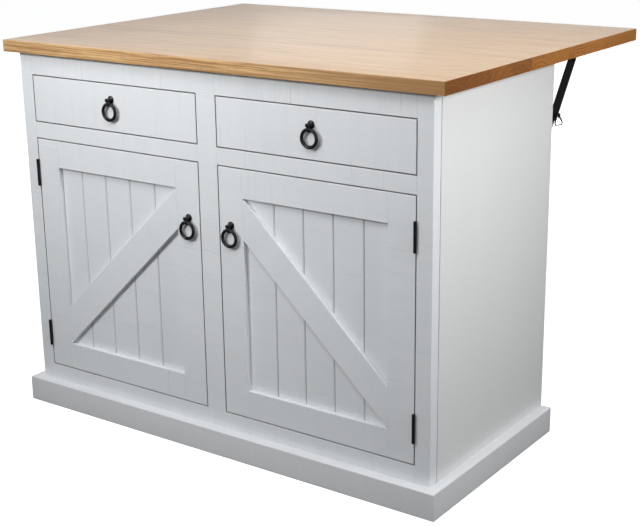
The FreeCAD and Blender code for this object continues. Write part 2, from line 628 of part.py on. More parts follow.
def drawers():
    front = box((FRONT_IN, FRONT_OUT), (0, DRAWER_FRONT),
                (DRAWER_OPENING_FOOT + REVEAL, DRAWER_OPENING_TOP - REVEAL))
    front = eased(front, ARRIS, lambda e: at(e, "y", 0))
    save_sides("drawer_{}_front", [front])
    save_sides("drawer_{}_box", drawer_box())
    save_sides("drawer_{}_pull_post", [pull_post(DRAWER_PULL_X, DRAWER_PULL_Z)])
    save_sides("drawer_{}_pull_ring", [pull_ring(DRAWER_PULL_X, DRAWER_PULL_Z)])

    slides = [section_along_y(BOX_IN, BOX_IN - SLIDE_DEPTH, SLIDE_HEIGHT, DRAWER_FRONT),
              section_along_y(BOX_OUT, BOX_OUT + SLIDE_DEPTH, SLIDE_HEIGHT, DRAWER_FRONT)]
    save_sides("drawer_{}_slides", slides)
    channels = [section_along_y(OPENING_IN, OPENING_IN + CHANNEL_DEPTH, CHANNEL_HEIGHT, RUNNER_START),
                section_along_y(OPENING_OUT, OPENING_OUT - CHANNEL_DEPTH, CHANNEL_HEIGHT, RUNNER_START)]
    save("runner_channels", [solid for channel in channels for solid in pair(channel)])

    y = (FRAME, RUNNER_START + RUNNER_LENGTH)
    z = (RUNNER_AXIS_Z - PACKER_HEIGHT / 2, RUNNER_AXIS_Z + PACKER_HEIGHT / 2)
    packers = [box((PANEL / 2, OPENING_IN), y, z), box((OPENING_OUT, PANEL_INSIDE), y, z)]
    save("runner_packers", [solid for packer in packers for solid in pair(packer)])


# ---------------------------------------------------------------- folding brackets
def flat_link(start, end, x):
    """A flat steel link with round ends, in the layer that starts at x."""
    half = LINK_WIDTH / 2
    side = STRUT_OUT * half
    corners = [start + side, end + side, end - side, start - side]
    outline = [Vector(x, corner.y, corner.z) for corner in corners]
    bar = Part.Face(Part.makePolygon(outline + outline[:1])).extrude(Vector(BRACKET_STEEL, 0, 0))
    ends = [rod_x(point, x, x + BRACKET_STEEL, half) for point in (start, end)]
    return fused([bar] + ends)


def countersunk(point, x_flush, direction, radius_play, cone_play):
    """The flush end of a rivet: a shank through one layer and its conical head, or the hole for it."""
    mouth = x_flush - direction * COUNTERSINK_DEPTH
    radius = RIVET_RADIUS + radius_play
    wide = COUNTERSINK_RADIUS + cone_play
    if direction > 0:
        return cone_x(point, mouth, x_flush, radius, wide)
    return cone_x(point, x_flush, mouth, wide, radius)


def bore_x(point, x, radius):
    """A hole through the steel layer that starts at x."""
    return rod_x(point, x - BORE_OVERCUT, x + BRACKET_STEEL + BORE_OVERCUT, radius)


def wall_leg():
    """The leg on the cabinet's back: a screwed flange and a web that carries two pivots."""
    flange_x = (BRACKET_X + BRACKET_STEEL - FLANGE_WIDTH, BRACKET_X + BRACKET_STEEL)
    z = (LEG_PIVOT.z - LUG_RADIUS - LEG_FOOT_MARGIN, FOLD_Z + LUG_RADIUS + LEG_TOP_MARGIN)
    flange = box(flange_x, (CABINET_DEPTH, CABINET_DEPTH + BRACKET_STEEL), z)
    web = box((LEG_X, LEG_X + BRACKET_STEEL), (CABINET_DEPTH, FOLD_Y), z)
    lugs = [rod_x(point, LEG_X, LEG_X + BRACKET_STEEL, LUG_RADIUS) for point in (FOLD_PIVOT, LEG_PIVOT)]
    bores = [bore_x(point, LEG_X, RIVET_RADIUS) for point in (FOLD_PIVOT, LEG_PIVOT)]
    return cut(fused([flange, web] + lugs), bores + wall_screws())


def arm():
    """The arm under the leaf: a screwed flange and a web that carries two pivots."""
    y = (FOLD_Y - LUG_RADIUS, ARM_PIVOT.y + ARM_TAIL)
    flange_x = (ARM_X, ARM_X + BRACKET_STEEL + FLANGE_WIDTH)
    flange = box(flange_x, y, (CABINET_TOP - BRACKET_STEEL, CABINET_TOP))
    web = box((ARM_X, ARM_X + BRACKET_STEEL), (FOLD_Y, ARM_PIVOT.y), (FOLD_Z, CABINET_TOP))
    lugs = [rod_x(point, ARM_X, ARM_X + BRACKET_STEEL, LUG_RADIUS) for point in (FOLD_PIVOT, ARM_PIVOT)]
    fold_bore = bore_x(FOLD_PIVOT, ARM_X, RIVET_RADIUS + LINK_PLAY)
    rivet_bore = bore_x(ARM_PIVOT, ARM_X, RIVET_RADIUS)
    return cut(fused([flange, web] + lugs), [fold_bore, rivet_bore] + arm_screws())


def root_pins():
    """The fold pin, with its spacer, and the rivet that the lower link turns on."""
    leg_back = LEG_X - RIVET_HEAD
    arm_front = ARM_X + BRACKET_STEEL + LAYER_GAP
    fold_pin = fused([rod_x(FOLD_PIVOT, leg_back, LEG_X, RIVET_HEAD_RADIUS),
                      rod_x(FOLD_PIVOT, LEG_X, arm_front + RIVET_HEAD, RIVET_RADIUS),
                      rod_x(FOLD_PIVOT, LEG_X + BRACKET_STEEL, ARM_X - LAYER_GAP, RIVET_HEAD_RADIUS),
                      rod_x(FOLD_PIVOT, arm_front, arm_front + RIVET_HEAD, RIVET_HEAD_RADIUS)])
    flush = LOWER_X + BRACKET_STEEL
    leg_rivet = fused([rod_x(LEG_PIVOT, leg_back, LEG_X, RIVET_HEAD_RADIUS),
                       rod_x(LEG_PIVOT, LEG_X, flush, RIVET_RADIUS),
                       countersunk(LEG_PIVOT, flush, 1, 0, 0)])
    return [fold_pin, leg_rivet]


def arm_rivet():
    outer = ARM_X + BRACKET_STEEL
    return fused([rod_x(ARM_PIVOT, UPPER_X, outer, RIVET_RADIUS),
                  rod_x(ARM_PIVOT, outer, outer + RIVET_HEAD, RIVET_HEAD_RADIUS),
                  countersunk(ARM_PIVOT, UPPER_X, -1, 0, 0)])


def lower_link():
    """The link on the wall leg, and the inner half of the knee's rivet."""
    flush = LOWER_X + BRACKET_STEEL
    link = flat_link(LEG_PIVOT, KNEE, LOWER_X)
    bore = bore_x(LEG_PIVOT, LOWER_X, RIVET_RADIUS + LINK_PLAY)
    seat = countersunk(LEG_PIVOT, flush, 1, LINK_PLAY, COUNTERSINK_PLAY)
    link = cut(link, [bore, seat])
    rivet = rod_x(KNEE, LOWER_X - RIVET_HEAD, LOWER_X, RIVET_HEAD_RADIUS)
    return [link, rivet]


def upper_link():
    """The link on the arm, the outer half of the knee's rivet, and the stud for the release loop."""
    outer = UPPER_X + BRACKET_STEEL
    link = flat_link(ARM_PIVOT, KNEE, UPPER_X)
    bore = bore_x(ARM_PIVOT, UPPER_X, RIVET_RADIUS + LINK_PLAY)
    seat = countersunk(ARM_PIVOT, UPPER_X, -1, LINK_PLAY, COUNTERSINK_PLAY)
    link = cut(link, [bore, seat])
    rivet_face = KNEE - STRUT_OUT * (LOOP_STUD_OFFSET / 2)
    rivet = rod_x(rivet_face, outer, outer + LAYER_GAP, RIVET_HEAD_RADIUS)
    stud_end = LOOP_X + LOOP_WIRE + LAYER_GAP
    stud = fused([rod_x(LOOP_STUD, outer, stud_end, LOOP_STUD_RADIUS),
                  rod_x(LOOP_STUD, stud_end, stud_end + RIVET_HEAD, RIVET_HEAD_RADIUS)])
    return [link, rivet, stud]


def release_loop():
    """A closed triangle of wire that hangs on its stud, swept round three corners."""
    corners = ((0, 0), LOOP_LONG_CORNER, LOOP_SHORT_CORNER)
    centres = [Vector(LOOP_X, LOOP_STUD.y + y, LOOP_STUD.z + z) for y, z in corners]
    edges = []
    ends = []
    for first, second in zip(centres, centres[1:] + centres[:1]):
        ahead = (second - first).normalize()
        outwards = Vector(0, -ahead.z, ahead.y) * LOOP_CORNER
        ends.append((first + outwards, second + outwards))
    for index, centre in enumerate(centres):
        start = ends[index - 1][1]
        end = ends[index][0]
        middle = centre + ((start + end) * 0.5 - centre).normalize() * LOOP_CORNER
        edges.append(Part.Arc(start, middle, end).toShape())
        edges.append(Part.LineSegment(*ends[index]).toShape())
    path = Part.Wire(edges[1:] + edges[:1])
    circle = Part.Wire(Part.makeCircle(LOOP_WIRE, ends[0][0], ends[0][1] - ends[0][0]))
    return path.makePipeShell([circle], True, False)


def brackets():
    save("bracket_wall_legs", pair(wall_leg()))
    save("bracket_wall_screws", [solid for screw in wall_screws() for solid in pair(screw)])
    save("bracket_pivot_pins", [solid for pin in root_pins() for solid in pair(pin)])
    save("bracket_arms", [solid for piece in (arm(), arm_rivet()) for solid in pair(piece)])
    save_sides("bracket_{}_lower_link", lower_link())
    save_sides("bracket_{}_upper_link", upper_link())
    save_sides("bracket_{}_release_loop", [release_loop()])


os.makedirs("parts", exist_ok=True)
face_frame()
carcass()
plinth()
top_and_leaf()
doors()
drawers()
brackets()

lower_turn = 180 - math.degrees(math.atan2(ARM_REACH, LEG_DROP))
upper_turn = 90 + math.degrees(math.atan2(ARM_REACH, LEG_DROP))
loop_turn = 180 - math.degrees(math.atan2(LOOP_LONG_CORNER[0], LOOP_LONG_CORNER[1]))
print("lower link %.1f mm, upper link %.1f mm" % (LOWER_LINK, UPPER_LINK))
print("per degree of the leaf: lower link %.5f, upper link %.5f" % (lower_turn / 90, upper_turn / 90))
print("knee at", KNEE + ORIGIN_SHIFT, "loop stud at", LOOP_STUD + ORIGIN_SHIFT, "loop swing", loop_turn)
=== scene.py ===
# %% [markdown]
# # A drop leaf kitchen island
#
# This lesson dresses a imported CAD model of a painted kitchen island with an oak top. The CAD model
# already has every board, hinge pin and bracket at its real place, in metres, with +Z up and the doors
# facing -Y. Blender's work is the finish: sawn boards under white paint, lacquered oak, black iron.
#
# Its nodes stay where they are. A new piece may stand in for a node, and then it rides on the same
# moving body, so that a door opens with all that is on it.

# %% Load the frame
import json
import math
import random

import bmesh
import bpy
from mathutils import Matrix, Vector


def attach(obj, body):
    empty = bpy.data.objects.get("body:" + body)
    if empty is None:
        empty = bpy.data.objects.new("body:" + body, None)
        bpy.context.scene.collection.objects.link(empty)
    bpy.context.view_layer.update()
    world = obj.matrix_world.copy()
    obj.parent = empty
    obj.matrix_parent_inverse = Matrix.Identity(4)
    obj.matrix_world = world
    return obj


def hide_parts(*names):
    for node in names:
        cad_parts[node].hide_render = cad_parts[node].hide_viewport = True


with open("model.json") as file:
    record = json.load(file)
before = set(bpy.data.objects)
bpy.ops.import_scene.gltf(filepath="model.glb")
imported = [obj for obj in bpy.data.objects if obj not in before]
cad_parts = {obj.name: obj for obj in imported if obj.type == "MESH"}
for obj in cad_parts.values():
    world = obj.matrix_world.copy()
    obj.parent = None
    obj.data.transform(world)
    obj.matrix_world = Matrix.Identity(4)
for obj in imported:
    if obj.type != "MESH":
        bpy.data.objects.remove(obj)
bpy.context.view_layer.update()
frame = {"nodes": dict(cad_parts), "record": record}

bpy.ops.object.select_all(action="DESELECT")

# %% [markdown]
# ## The camera
#
# The photograph was taken from the front right, a little above the top. Straight edges of the cabinet
# give the camera's place, its turn and its focal length. A camera looks along its own -Z, so it is
# tipped up from straight down, turned about the vertical, and rolled a little about its own view.

# %% Place the camera
CAMERA_PLACE = Vector((1.8269, -2.5831, 1.3140))
LOOK_DOWN = math.radians(17.061)
TURN_LEFT = math.radians(35.455)
ROLL = math.radians(-0.767)
PHOTO_WIDTH = 640
FOCAL_PIXELS = 1318.48
SENSOR = 36.0
FAR_EDGE = 2000.0  # metres, past the far edge of the studio's floor

camera_data = bpy.data.cameras.new("photo_camera")
camera_data.sensor_width = SENSOR
camera_data.lens = SENSOR * FOCAL_PIXELS / PHOTO_WIDTH
camera_data.clip_end = FAR_EDGE
camera = bpy.data.objects.new("photo_camera", camera_data)
bpy.context.scene.collection.objects.link(camera)
tipped = Matrix.Rotation(math.pi / 2 - LOOK_DOWN, 4, "X")
camera.matrix_world = (Matrix.Translation(CAMERA_PLACE) @ Matrix.Rotation(TURN_LEFT, 4, "Z")
                       @ tipped @ Matrix.Rotation(ROLL, 4, "Z"))
bpy.context.scene.camera = camera
print("lens in millimetres:", round(camera_data.lens, 2))

# %% [markdown]
# ## Shader maths
#
# Node materials get hard to read when every link is a line of code. This small class wraps one output
# socket, so that `mask * 0.5 + 0.1` adds the Math nodes by itself. The reflected forms let a plain
# number come first, as in `1.0 - mask`.

# %% Wrap a socket
class Value:
    """One output socket that takes part in Python expressions."""

    def __init__(self, nodes, socket):
        self.nodes = nodes
        self.socket = socket

    def maths(self, operation, first, second=0.0):
        return self.nodes.node("ShaderNodeMath", {"operation": operation}, {0: first, 1: second})

    def __add__(self, other):
        return self.maths("ADD", self, other)

    def __radd__(self, other):
        return self.maths("ADD", other, self)

    def __sub__(self, other):
        return self.maths("SUBTRACT", self, other)

    def __rsub__(self, other):
        return self.maths("SUBTRACT", other, self)

    def __mul__(self, other):
        return self.maths("MULTIPLY", self, other)

    def __rmul__(self, other):
        return self.maths("MULTIPLY", other, self)

    def __pow__(self, other):
        return self.maths("POWER", self, other)

    def __abs__(self):
        return self.maths("ABSOLUTE", self)


print("operators ready")

# %% [markdown]
# Any other node comes from one method, `node`. It takes the node's type, then its settings, then the
# values or links of its inputs, and it hands back one output. The same class builds materials and the
# studio's sky.

# %% Build a node tree
class Nodes:
    """A node tree under construction."""

    def __init__(self, tree):
        self.tree = tree

    def node(self, kind, settings, inputs, output=0):
        made = self.tree.nodes.new(kind)
        for setting, value in settings.items():
            if setting == "stops":
                self.set_stops(made.color_ramp, value)
            else:
                setattr(made, setting, value)
        for key, value in inputs.items():
            self.feed(made.inputs[key], value)
        return Value(self, made.outputs[output])

    def feed(self, socket, value):
        if isinstance(value, Value):
            self.tree.links.new(value.socket, socket)
        else:
            socket.default_value = value

    def set_stops(self, ramp, stops):
        """A new ramp has a stop at each end already, so only those between are added."""
        for place, _ in stops[1:-1]:
            ramp.elements.new(place)
        for element, (_, colour) in zip(ramp.elements, stops):
            element.color = colour

    def axes(self, vector):
        made = self.node("ShaderNodeSeparateXYZ", {}, {0: vector})
        outputs = made.socket.node.outputs
        return [Value(self, outputs[index]) for index in range(3)]


def rgba(red, green, blue):
    return (red, green, blue, 1.0)


print("node trees ready")

# %% [markdown]
# A finish is a Principled shader with patterns fed into it. Noise that is stretched along one axis is
# the base of every grain here: where its scale is small, it runs long.

# %% Define the finish helper
class Shader(Nodes):
    """A material under construction. Its constants go onto the shader's own sockets."""

    def __init__(self, name, **constants):
        self.material = bpy.data.materials.new(name)
        self.material.use_nodes = True
        super().__init__(self.material.node_tree)
        self.surface = self.tree.nodes["Principled BSDF"]
        for socket_name, value in constants.items():
            self.surface.inputs[socket_name.replace("_", " ")].default_value = value
        self.position = self.node("ShaderNodeTexCoord", {}, {}, "Object")

    def noise(self, vector, scale, detail=2.0, roughness=0.5):
        inputs = {"Vector": vector, "Scale": scale, "Detail": detail, "Roughness": roughness}
        return self.node("ShaderNodeTexNoise", {}, inputs)

    def noise_1d(self, place, scale, detail=2.0, roughness=0.5):
        inputs = {"W": place, "Scale": scale, "Detail": detail, "Roughness": roughness}
        return self.node("ShaderNodeTexNoise", {"noise_dimensions": "1D"}, inputs)

    def grain(self, vector, scales, detail=2.0, roughness=0.5):
        """Noise with its own scale along each axis."""
        stretched = self.node("ShaderNodeVectorMath", {"operation": "MULTIPLY"}, {0: vector, 1: scales})
        return self.noise(stretched, 1.0, detail, roughness)

    def joined(self, x, y, z):
        return self.node("ShaderNodeCombineXYZ", {}, {0: x, 1: y, 2: z})

    def mix(self, factor, first, second):
        """A colour between two colours."""
        inputs = {0: factor, 6: first, 7: second}
        return self.node("ShaderNodeMix", {"data_type": "RGBA"}, inputs, 2)

    def smooth(self, value, low, high):
        """0 below low, 1 above high, and a soft step between."""
        inputs = {"Value": value, "From Min": low, "From Max": high}
        return self.node("ShaderNodeMapRange", {"interpolation_type": "SMOOTHSTEP"}, inputs)

    def bump(self, height, distance, strength):
        inputs = {"Strength": strength, "Distance": distance, "Height": height}
        return self.node("ShaderNodeBump", {}, inputs)

    def finish(self, **links):
        """Feed the surface's sockets, and hand over the material."""
        for socket_name, value in links.items():
            self.feed(self.surface.inputs[socket_name.replace("_", " ")], value)
        return self.material


print("finish helper ready")

# %% [markdown]
# ## White paint over sawn boards
#
# The boards were left rough from the saw and then painted, so thin marks cross each board's grain under
# the satin paint. A pattern that changes only along the board gives such marks, because it is the same
# all the way across. It needs to know which way each board runs, so every board gets a UV map in metres:
# U along its grain, V across it. Each board starts at another place in the pattern, as real ones do.
# The rail under the top shows the saw most, and the side panels show it least.

# %% Make the paint
PAINT = rgba(0.80, 0.825, 0.845)
PAINT_GREY = rgba(0.60, 0.63, 0.655)
PANEL_PAINT = rgba(0.78, 0.785, 0.785)
FOOT_PAINT = rgba(0.75, 0.765, 0.785)
# The two colours below are painted shade for the faces in gaps, where shadow falls.
PAINTED_SHADE = rgba(0.36, 0.38, 0.40)
PAINTED_SHADE_GREY = rgba(0.26, 0.28, 0.30)
MARK_SWAY = 0.009  # metres that a mark wanders along the board
CROSS_LINES = 13.0  # deep marks to a metre
CROSS_LINE_EDGES = (0.004, 0.030)
STRONG_PATCHES = (0.44, 0.68)
SAW_TEETH = 330.0  # fine marks to a metre
TOOTH_EDGES = (0.52, 0.74)
TOOTH_PATCHES = (0.42, 0.66)
BANDS = 24.0  # broad bands to a metre
NAP = 160.0
CLOUD_SCALES = (1.3, 9.0, 1.0)
PAINT_RELIEF = 0.0006  # metres


def painted(name, marks, light=PAINT, dark=PAINT_GREY):
    """Satin paint on a sawn board; marks is how much of the saw still shows."""
    shader = Shader(name, Specular_IOR_Level=0.35)
    place = shader.node("ShaderNodeUVMap", {"uv_map": "grain"}, {})
    along = shader.axes(place)[0]
    sway = (shader.noise(place, 6.0) - 0.5) * MARK_SWAY
    settings = {"voronoi_dimensions": "1D", "feature": "DISTANCE_TO_EDGE"}
    edge = shader.node("ShaderNodeTexVoronoi", settings, {"W": along + sway, "Scale": CROSS_LINES})
    strong = shader.smooth(shader.noise(place, 9.0, 1.0), *STRONG_PATCHES)
    cross_lines = (1.0 - shader.smooth(edge, *CROSS_LINE_EDGES)) * strong
    teeth = shader.noise_1d(along + sway * 1.5, SAW_TEETH, 2.0, 0.6)
    patches = shader.smooth(shader.noise(place, 6.0), *TOOTH_PATCHES)
    fine_lines = shader.smooth(teeth, *TOOTH_EDGES) * patches
    bands = shader.noise_1d(along + sway, BANDS) - 0.5
    cloud = shader.grain(place, CLOUD_SCALES) - 0.5
    nap = shader.noise(shader.position, NAP, 3.0, 0.6) - 0.5
    tone = (cross_lines * 0.30 + fine_lines * 0.27 + bands * 0.22) * marks + cloud * 0.20 + nap * 0.26
    colour = shader.mix(tone + 0.05, light, dark)
    height = nap * 0.4 - (cross_lines * 0.9 + fine_lines * 1.1) * marks
    return shader.finish(Base_Color=colour, Normal=shader.bump(height, PAINT_RELIEF, 0.5),
                         Roughness=0.42 + nap * 0.16 + fine_lines * 0.08)


sawn_paint = painted("paint_sawn", 0.8)
rail_paint = painted("paint_deep_sawn", 1.5)
smooth_paint = painted("paint_smooth", 0.12, PANEL_PAINT)
foot_paint = painted("paint_foot", 0.55, FOOT_PAINT)
# Painted shade: the darker grey paint on faces in gaps and seams, standing in for their shadow.
gap_shade_paint = painted("paint_gap_shade", 0.5, PAINTED_SHADE, PAINTED_SHADE_GREY)
print("paints:", [made.name for made in (sawn_paint, rail_paint, smooth_paint, foot_paint, gap_shade_paint)])

# %% [markdown]
# ## Lacquered oak
#
# A top is glued up from staves, each cut from another log. If a stave is treated as a slice of a log
# with the heart somewhere below it, the distance from the heart gives rings on every face at once: long
# streaks and pointed figure on the top, arcs on the sawn ends. Each stave carries three numbers on its
# faces: where its heart lies across the top, how deep it lies, and how dark the stave is. The lacquer is
# a clear coat. It is thin on the sawn ends, which drink it, so they stay dull and brown.
#
# The object's own normal tells a top from an edge and from a sawn end. It turns with the leaf, so the
# leaf keeps its look when it hangs down. The tops are mixed towards a paler colour: a painted sheen
# that stands in for the studio's reflection in the lacquer.

# %% Make the oak
OAK_LIGHT = rgba(0.66, 0.430, 0.205)
# The next colour is a painted sheen for the tops, standing in for the lacquer's reflection.
OAK_PAINTED_SHEEN = rgba(0.64, 0.465, 0.325)
OAK_DARK = rgba(0.37, 0.195, 0.075)
OAK_END_LIGHT = rgba(0.43, 0.175, 0.040)
OAK_END_DARK = rgba(0.15, 0.052, 0.010)
OAK_PORE = rgba(0.20, 0.095, 0.035)
STAVE_OFFSET = 19.0  # metres of pattern between two staves' logs
RINGS = 170.0
END_RINGS = 420.0
DRIFT_SCALES = (1.5, 7.0, 7.0)
STREAK_SCALES = (6.0, 170.0, 340.0)
FLECK_SCALES = (14.0, 330.0, 330.0)
PORE_SCALES = (28.0, 900.0, 900.0)
FRONT_LINE_SCALES = (5.0, 1.0, 560.0)
END_PORE_SCALES = (1.0, 260.0, 420.0)
OAK_RELIEF = 0.0003


def oak(name):
    shader = Shader(name, Coat_Roughness=0.18, Coat_IOR=1.5, Specular_IOR_Level=0.25)
    stave, heart_y, heart_z = [shader.node("ShaderNodeAttribute", {"attribute_name": label}, {}, 2)
                               for label in ("stave_tone", "heart_y", "heart_z")]
    x, y, z = shader.axes(shader.position)
    place = shader.joined(x + stave * STAVE_OFFSET, y, z)
    facing = shader.axes(shader.node("ShaderNodeTexCoord", {}, {}, "Normal"))
    end = shader.smooth(abs(facing[0]), 0.5, 0.8)
    front = shader.smooth(abs(facing[1]), 0.5, 0.8)
    top = shader.smooth(facing[2], 0.5, 0.9)

    drift = shader.grain(place, DRIFT_SCALES, 3.0) - 0.5
    side = y - heart_y
    rise = z - heart_z
    radius = (side * side * 0.8 + rise * rise) ** 0.5 + drift * 0.045 + x * 0.012
    rings = shader.noise_1d(radius, RINGS, 2.5, 0.62)
    streaks = shader.grain(place, STREAK_SCALES, 4.0, 0.62)
    flecks = shader.grain(place, FLECK_SCALES)
    pores = shader.grain(place, PORE_SCALES, 1.0)
    tone = rings * 0.26 + streaks * 0.42 + flecks * 0.32 + stave * 0.05
    lines = shader.grain(place, FRONT_LINE_SCALES, 3.0, 0.7)
    front_contrast = shader.smooth(lines * 0.75 + rings * 0.25, 0.43, 0.57)
    contrast = shader.smooth(tone, 0.40, 0.70) * (1.0 - front) + front_contrast * front

    end_rings = shader.noise_1d(radius, END_RINGS, 2.0, 0.6)
    end_pores = shader.grain(place, END_PORE_SCALES)
    end_tone = shader.smooth(end_rings * 0.55 + end_pores * 0.45 + stave * 0.12 - y * 0.36, 0.38, 0.74)
    heartwood = shader.smooth(x, 0.10, 0.62) * front * 0.9

    colour = shader.mix(contrast, OAK_LIGHT, OAK_DARK)
    colour = shader.mix(shader.smooth(pores, 0.60, 0.74) * 0.5, colour, OAK_PORE)
    colour = shader.mix(heartwood, colour, OAK_DARK)
    # Painted sheen: top faces are mixed towards a paler colour, for the studio's reflection in the
    # lacquer.
    colour = shader.mix(top * 0.52, colour, OAK_PAINTED_SHEEN)
    colour = shader.mix(end, colour, shader.mix(end_tone, OAK_END_LIGHT, OAK_END_DARK))
    height = pores * -0.5 + streaks * 0.25 + end * end_pores
    return shader.finish(Base_Color=colour, Normal=shader.bump(height, OAK_RELIEF, 0.4),
                         Coat_Weight=(1.0 - end) * (1.0 - front * 0.7) * 0.5,
                         Roughness=0.34 + streaks * 0.14 + end * 0.2)


oak_top = oak("oak_lacquered")
print("oak:", oak_top.name)

# %% [markdown]
# ## Inside woods, iron, steel and plastic
#
# The carcass and the drawer boxes are pale and plain. The pulls, hinges and brackets have a black
# coating that is a little uneven, as on cast and pressed iron. Runners are bright zinc.

# %% Make the other finishes
def pale_wood(name, light, dark):
    shader = Shader(name, Roughness=0.5)
    streaks = shader.grain(shader.position, (3.0, 3.0, 60.0), 4.0, 0.6)
    pores = shader.grain(shader.position, (40.0, 40.0, 700.0), 1.0)
    tone = shader.smooth(streaks, 0.3, 0.7) + shader.smooth(pores, 0.6, 0.8) * 0.4
    colour = shader.mix(tone, light, dark)
    return shader.finish(Base_Color=colour, Normal=shader.bump(streaks - pores * 0.3, 0.0002, 0.4))


def black_iron(name):
    shader = Shader(name, Specular_IOR_Level=0.32)
    dimples = shader.noise(shader.position, 420.0)
    blotches = shader.noise(shader.position, 60.0)
    colour = shader.mix(blotches, rgba(0.003, 0.003, 0.0035), rgba(0.009, 0.0085, 0.009))
    return shader.finish(Base_Color=colour, Roughness=0.24 + blotches * 0.2,
                         Normal=shader.bump(dimples, 0.0002, 0.35))


def bright_zinc(name):
    shader = Shader(name, Metallic=1.0)
    drawn = shader.grain(shader.position, (300.0, 6.0, 300.0))
    colour = shader.mix(drawn, rgba(0.55, 0.57, 0.58), rgba(0.68, 0.69, 0.70))
    return shader.finish(Base_Color=colour, Roughness=0.25 + drawn * 0.2)


def moulded_plastic(name):
    shader = Shader(name, Roughness=0.5)
    speckle = shader.noise(shader.position, 500.0)
    colour = shader.mix(speckle, rgba(0.68, 0.66, 0.60), rgba(0.74, 0.72, 0.67))
    return shader.finish(Base_Color=colour, Normal=shader.bump(speckle, 0.0001, 0.3))


inner_wood = pale_wood("inner_board", rgba(0.66, 0.53, 0.36), rgba(0.56, 0.42, 0.26))
drawer_wood = pale_wood("drawer_birch", rgba(0.70, 0.56, 0.38), rgba(0.60, 0.45, 0.28))
iron = black_iron("black_iron")
zinc = bright_zinc("bright_zinc")
plastic = moulded_plastic("catch_plastic")
print("finishes:", [made.name for made in (inner_wood, drawer_wood, iron, zinc, plastic)])

# %% [markdown]
# ## Finish for the CAD nodes that stay
#
# The record names a slot for each node. The inside of the cabinet has the right shape already, so it
# only needs its wood, steel or plastic. All that is painted or shows from outside is modelled below.

# %% Assign the materials
SLOT_FINISH = {"painted_wood": smooth_paint, "oak_top": oak_top, "inner_wood": inner_wood,
               "drawer_wood": drawer_wood, "black_iron": iron, "zinc_steel": zinc,
               "catch_plastic": plastic}
for part in frame["record"]["subparts"]:
    node = frame["nodes"][part["node"]]
    node.data.materials.clear()
    node.data.materials.append(SLOT_FINISH[part["material_slot"]])

# %% [markdown]
# ## Bench tools
#
# Each board starts as a block at its real size and place and is then shaped in edit mode, as a joiner
# would: saw it, grow a tenon or a tongue, take off the sharp edges. Sizes are in millimetres, with Y
# counted back from the front of the face frame, as a joiner measures. `point` turns them into metres.
# A finished piece sits at the origin with its place in its mesh, as the CAD nodes do.

# %% Measure and start a block
MM = 0.001
HAIR = 1e-5  # metres; closer than this counts as the same place
FACE_Y = -435.0
LEFT, RIGHT = Vector((-1, 0, 0)), Vector((1, 0, 0))
UP, DOWN = Vector((0, 0, 1)), Vector((0, 0, -1))
FRONT, BACK = Vector((0, -1, 0)), Vector((0, 1, 0))


def point(x, y, z):
    return Vector((x, y + FACE_Y, z)) * MM


def clear_bench():
    active = bpy.context.view_layer.objects.active
    if active and active.mode != "OBJECT":
        bpy.ops.object.mode_set(mode="OBJECT")
    bpy.ops.object.select_all(action="DESELECT")


def settle(name):
    """Name the object just added, and move its place from the object into its mesh."""
    piece = bpy.context.view_layer.objects.active
    piece.name = piece.data.name = name
    bpy.ops.object.transform_apply(location=True, rotation=True, scale=True)
    return piece


def start_block(name, x, y, z):
    clear_bench()
    low, high = point(min(x), min(y), min(z)), point(max(x), max(y), max(z))
    bpy.ops.mesh.primitive_cube_add(size=1.0, calc_uvs=False, location=(low + high) / 2,
                                    scale=high - low)
    return settle(name)


print("the face frame's front is at y =", FACE_Y * MM)

# %% [markdown]
# Operators act on what is selected. `pick` goes into edit mode and selects the faces, edges or corners
# that pass a test of their place or direction. The tools after it saw, grow and ease what is picked.

# %% Pick, saw, grow, move and ease
SHARP_ANGLE = 0.4
STRAIGHT_ON = 0.95


def pick(piece, kind, wanted):
    clear_bench()
    piece.select_set(True)
    bpy.context.view_layer.objects.active = piece
    bpy.ops.object.mode_set(mode="EDIT")
    bpy.ops.mesh.select_mode(type=kind)
    bpy.ops.mesh.select_all(action="DESELECT")
    mesh = bmesh.from_edit_mesh(piece.data)
    elements = {"VERT": mesh.verts, "EDGE": mesh.edges, "FACE": mesh.faces}[kind]
    for element in [element for element in elements if wanted(element)]:
        element.select_set(True)
    bmesh.update_edit_mesh(piece.data)


def middle(edge):
    return (edge.verts[0].co + edge.verts[1].co) / 2


def sharp(edge):
    return len(edge.link_faces) == 2 and edge.calc_face_angle() > SHARP_ANGLE


def facing(direction):
    """A test for flat faces that look in one direction."""
    return lambda face: face.normal.dot(direction) > STRAIGHT_ON


def saw(piece, at, normal, drop=False):
    """Saw through at a plane; drop takes away what lies on the normal's side."""
    pick(piece, "FACE", lambda face: True)
    bpy.ops.mesh.bisect(plane_co=at, plane_no=normal, use_fill=drop, clear_outer=drop)
    bpy.ops.object.mode_set(mode="OBJECT")


def grow(piece, wanted, move):
    """Extrude the picked faces by a move in millimetres."""
    pick(piece, "FACE", wanted)
    bpy.ops.mesh.extrude_region_move(TRANSFORM_OT_translate={"value": Vector(move) * MM})
    bpy.ops.object.mode_set(mode="OBJECT")


def shift(piece, kind, wanted, move):
    pick(piece, kind, wanted)
    bpy.ops.transform.translate(value=Vector(move) * MM)
    bpy.ops.object.mode_set(mode="OBJECT")


def ease(piece, width, wanted=sharp, segments=2):
    """Round or, with one segment, chamfer the picked edges."""
    pick(piece, "EDGE", wanted)
    bpy.ops.mesh.bevel(offset=width * MM, segments=segments, affect="EDGES", clamp_overlap=True)
    bpy.ops.object.mode_set(mode="OBJECT")


print("bench tools ready")

# %% [markdown]
# The faces in a gap get a darker grey paint: painted shade that stands in for the shadow deep in the
# gap.
# That is what makes the gaps read as dark lines.

# %% Lay the grain, glue up and hand over
draw = random.Random(7)
GAP_SHADE_SLOT = 1
PATTERN_ROOM = 40.0  # metres of pattern that boards are cut from


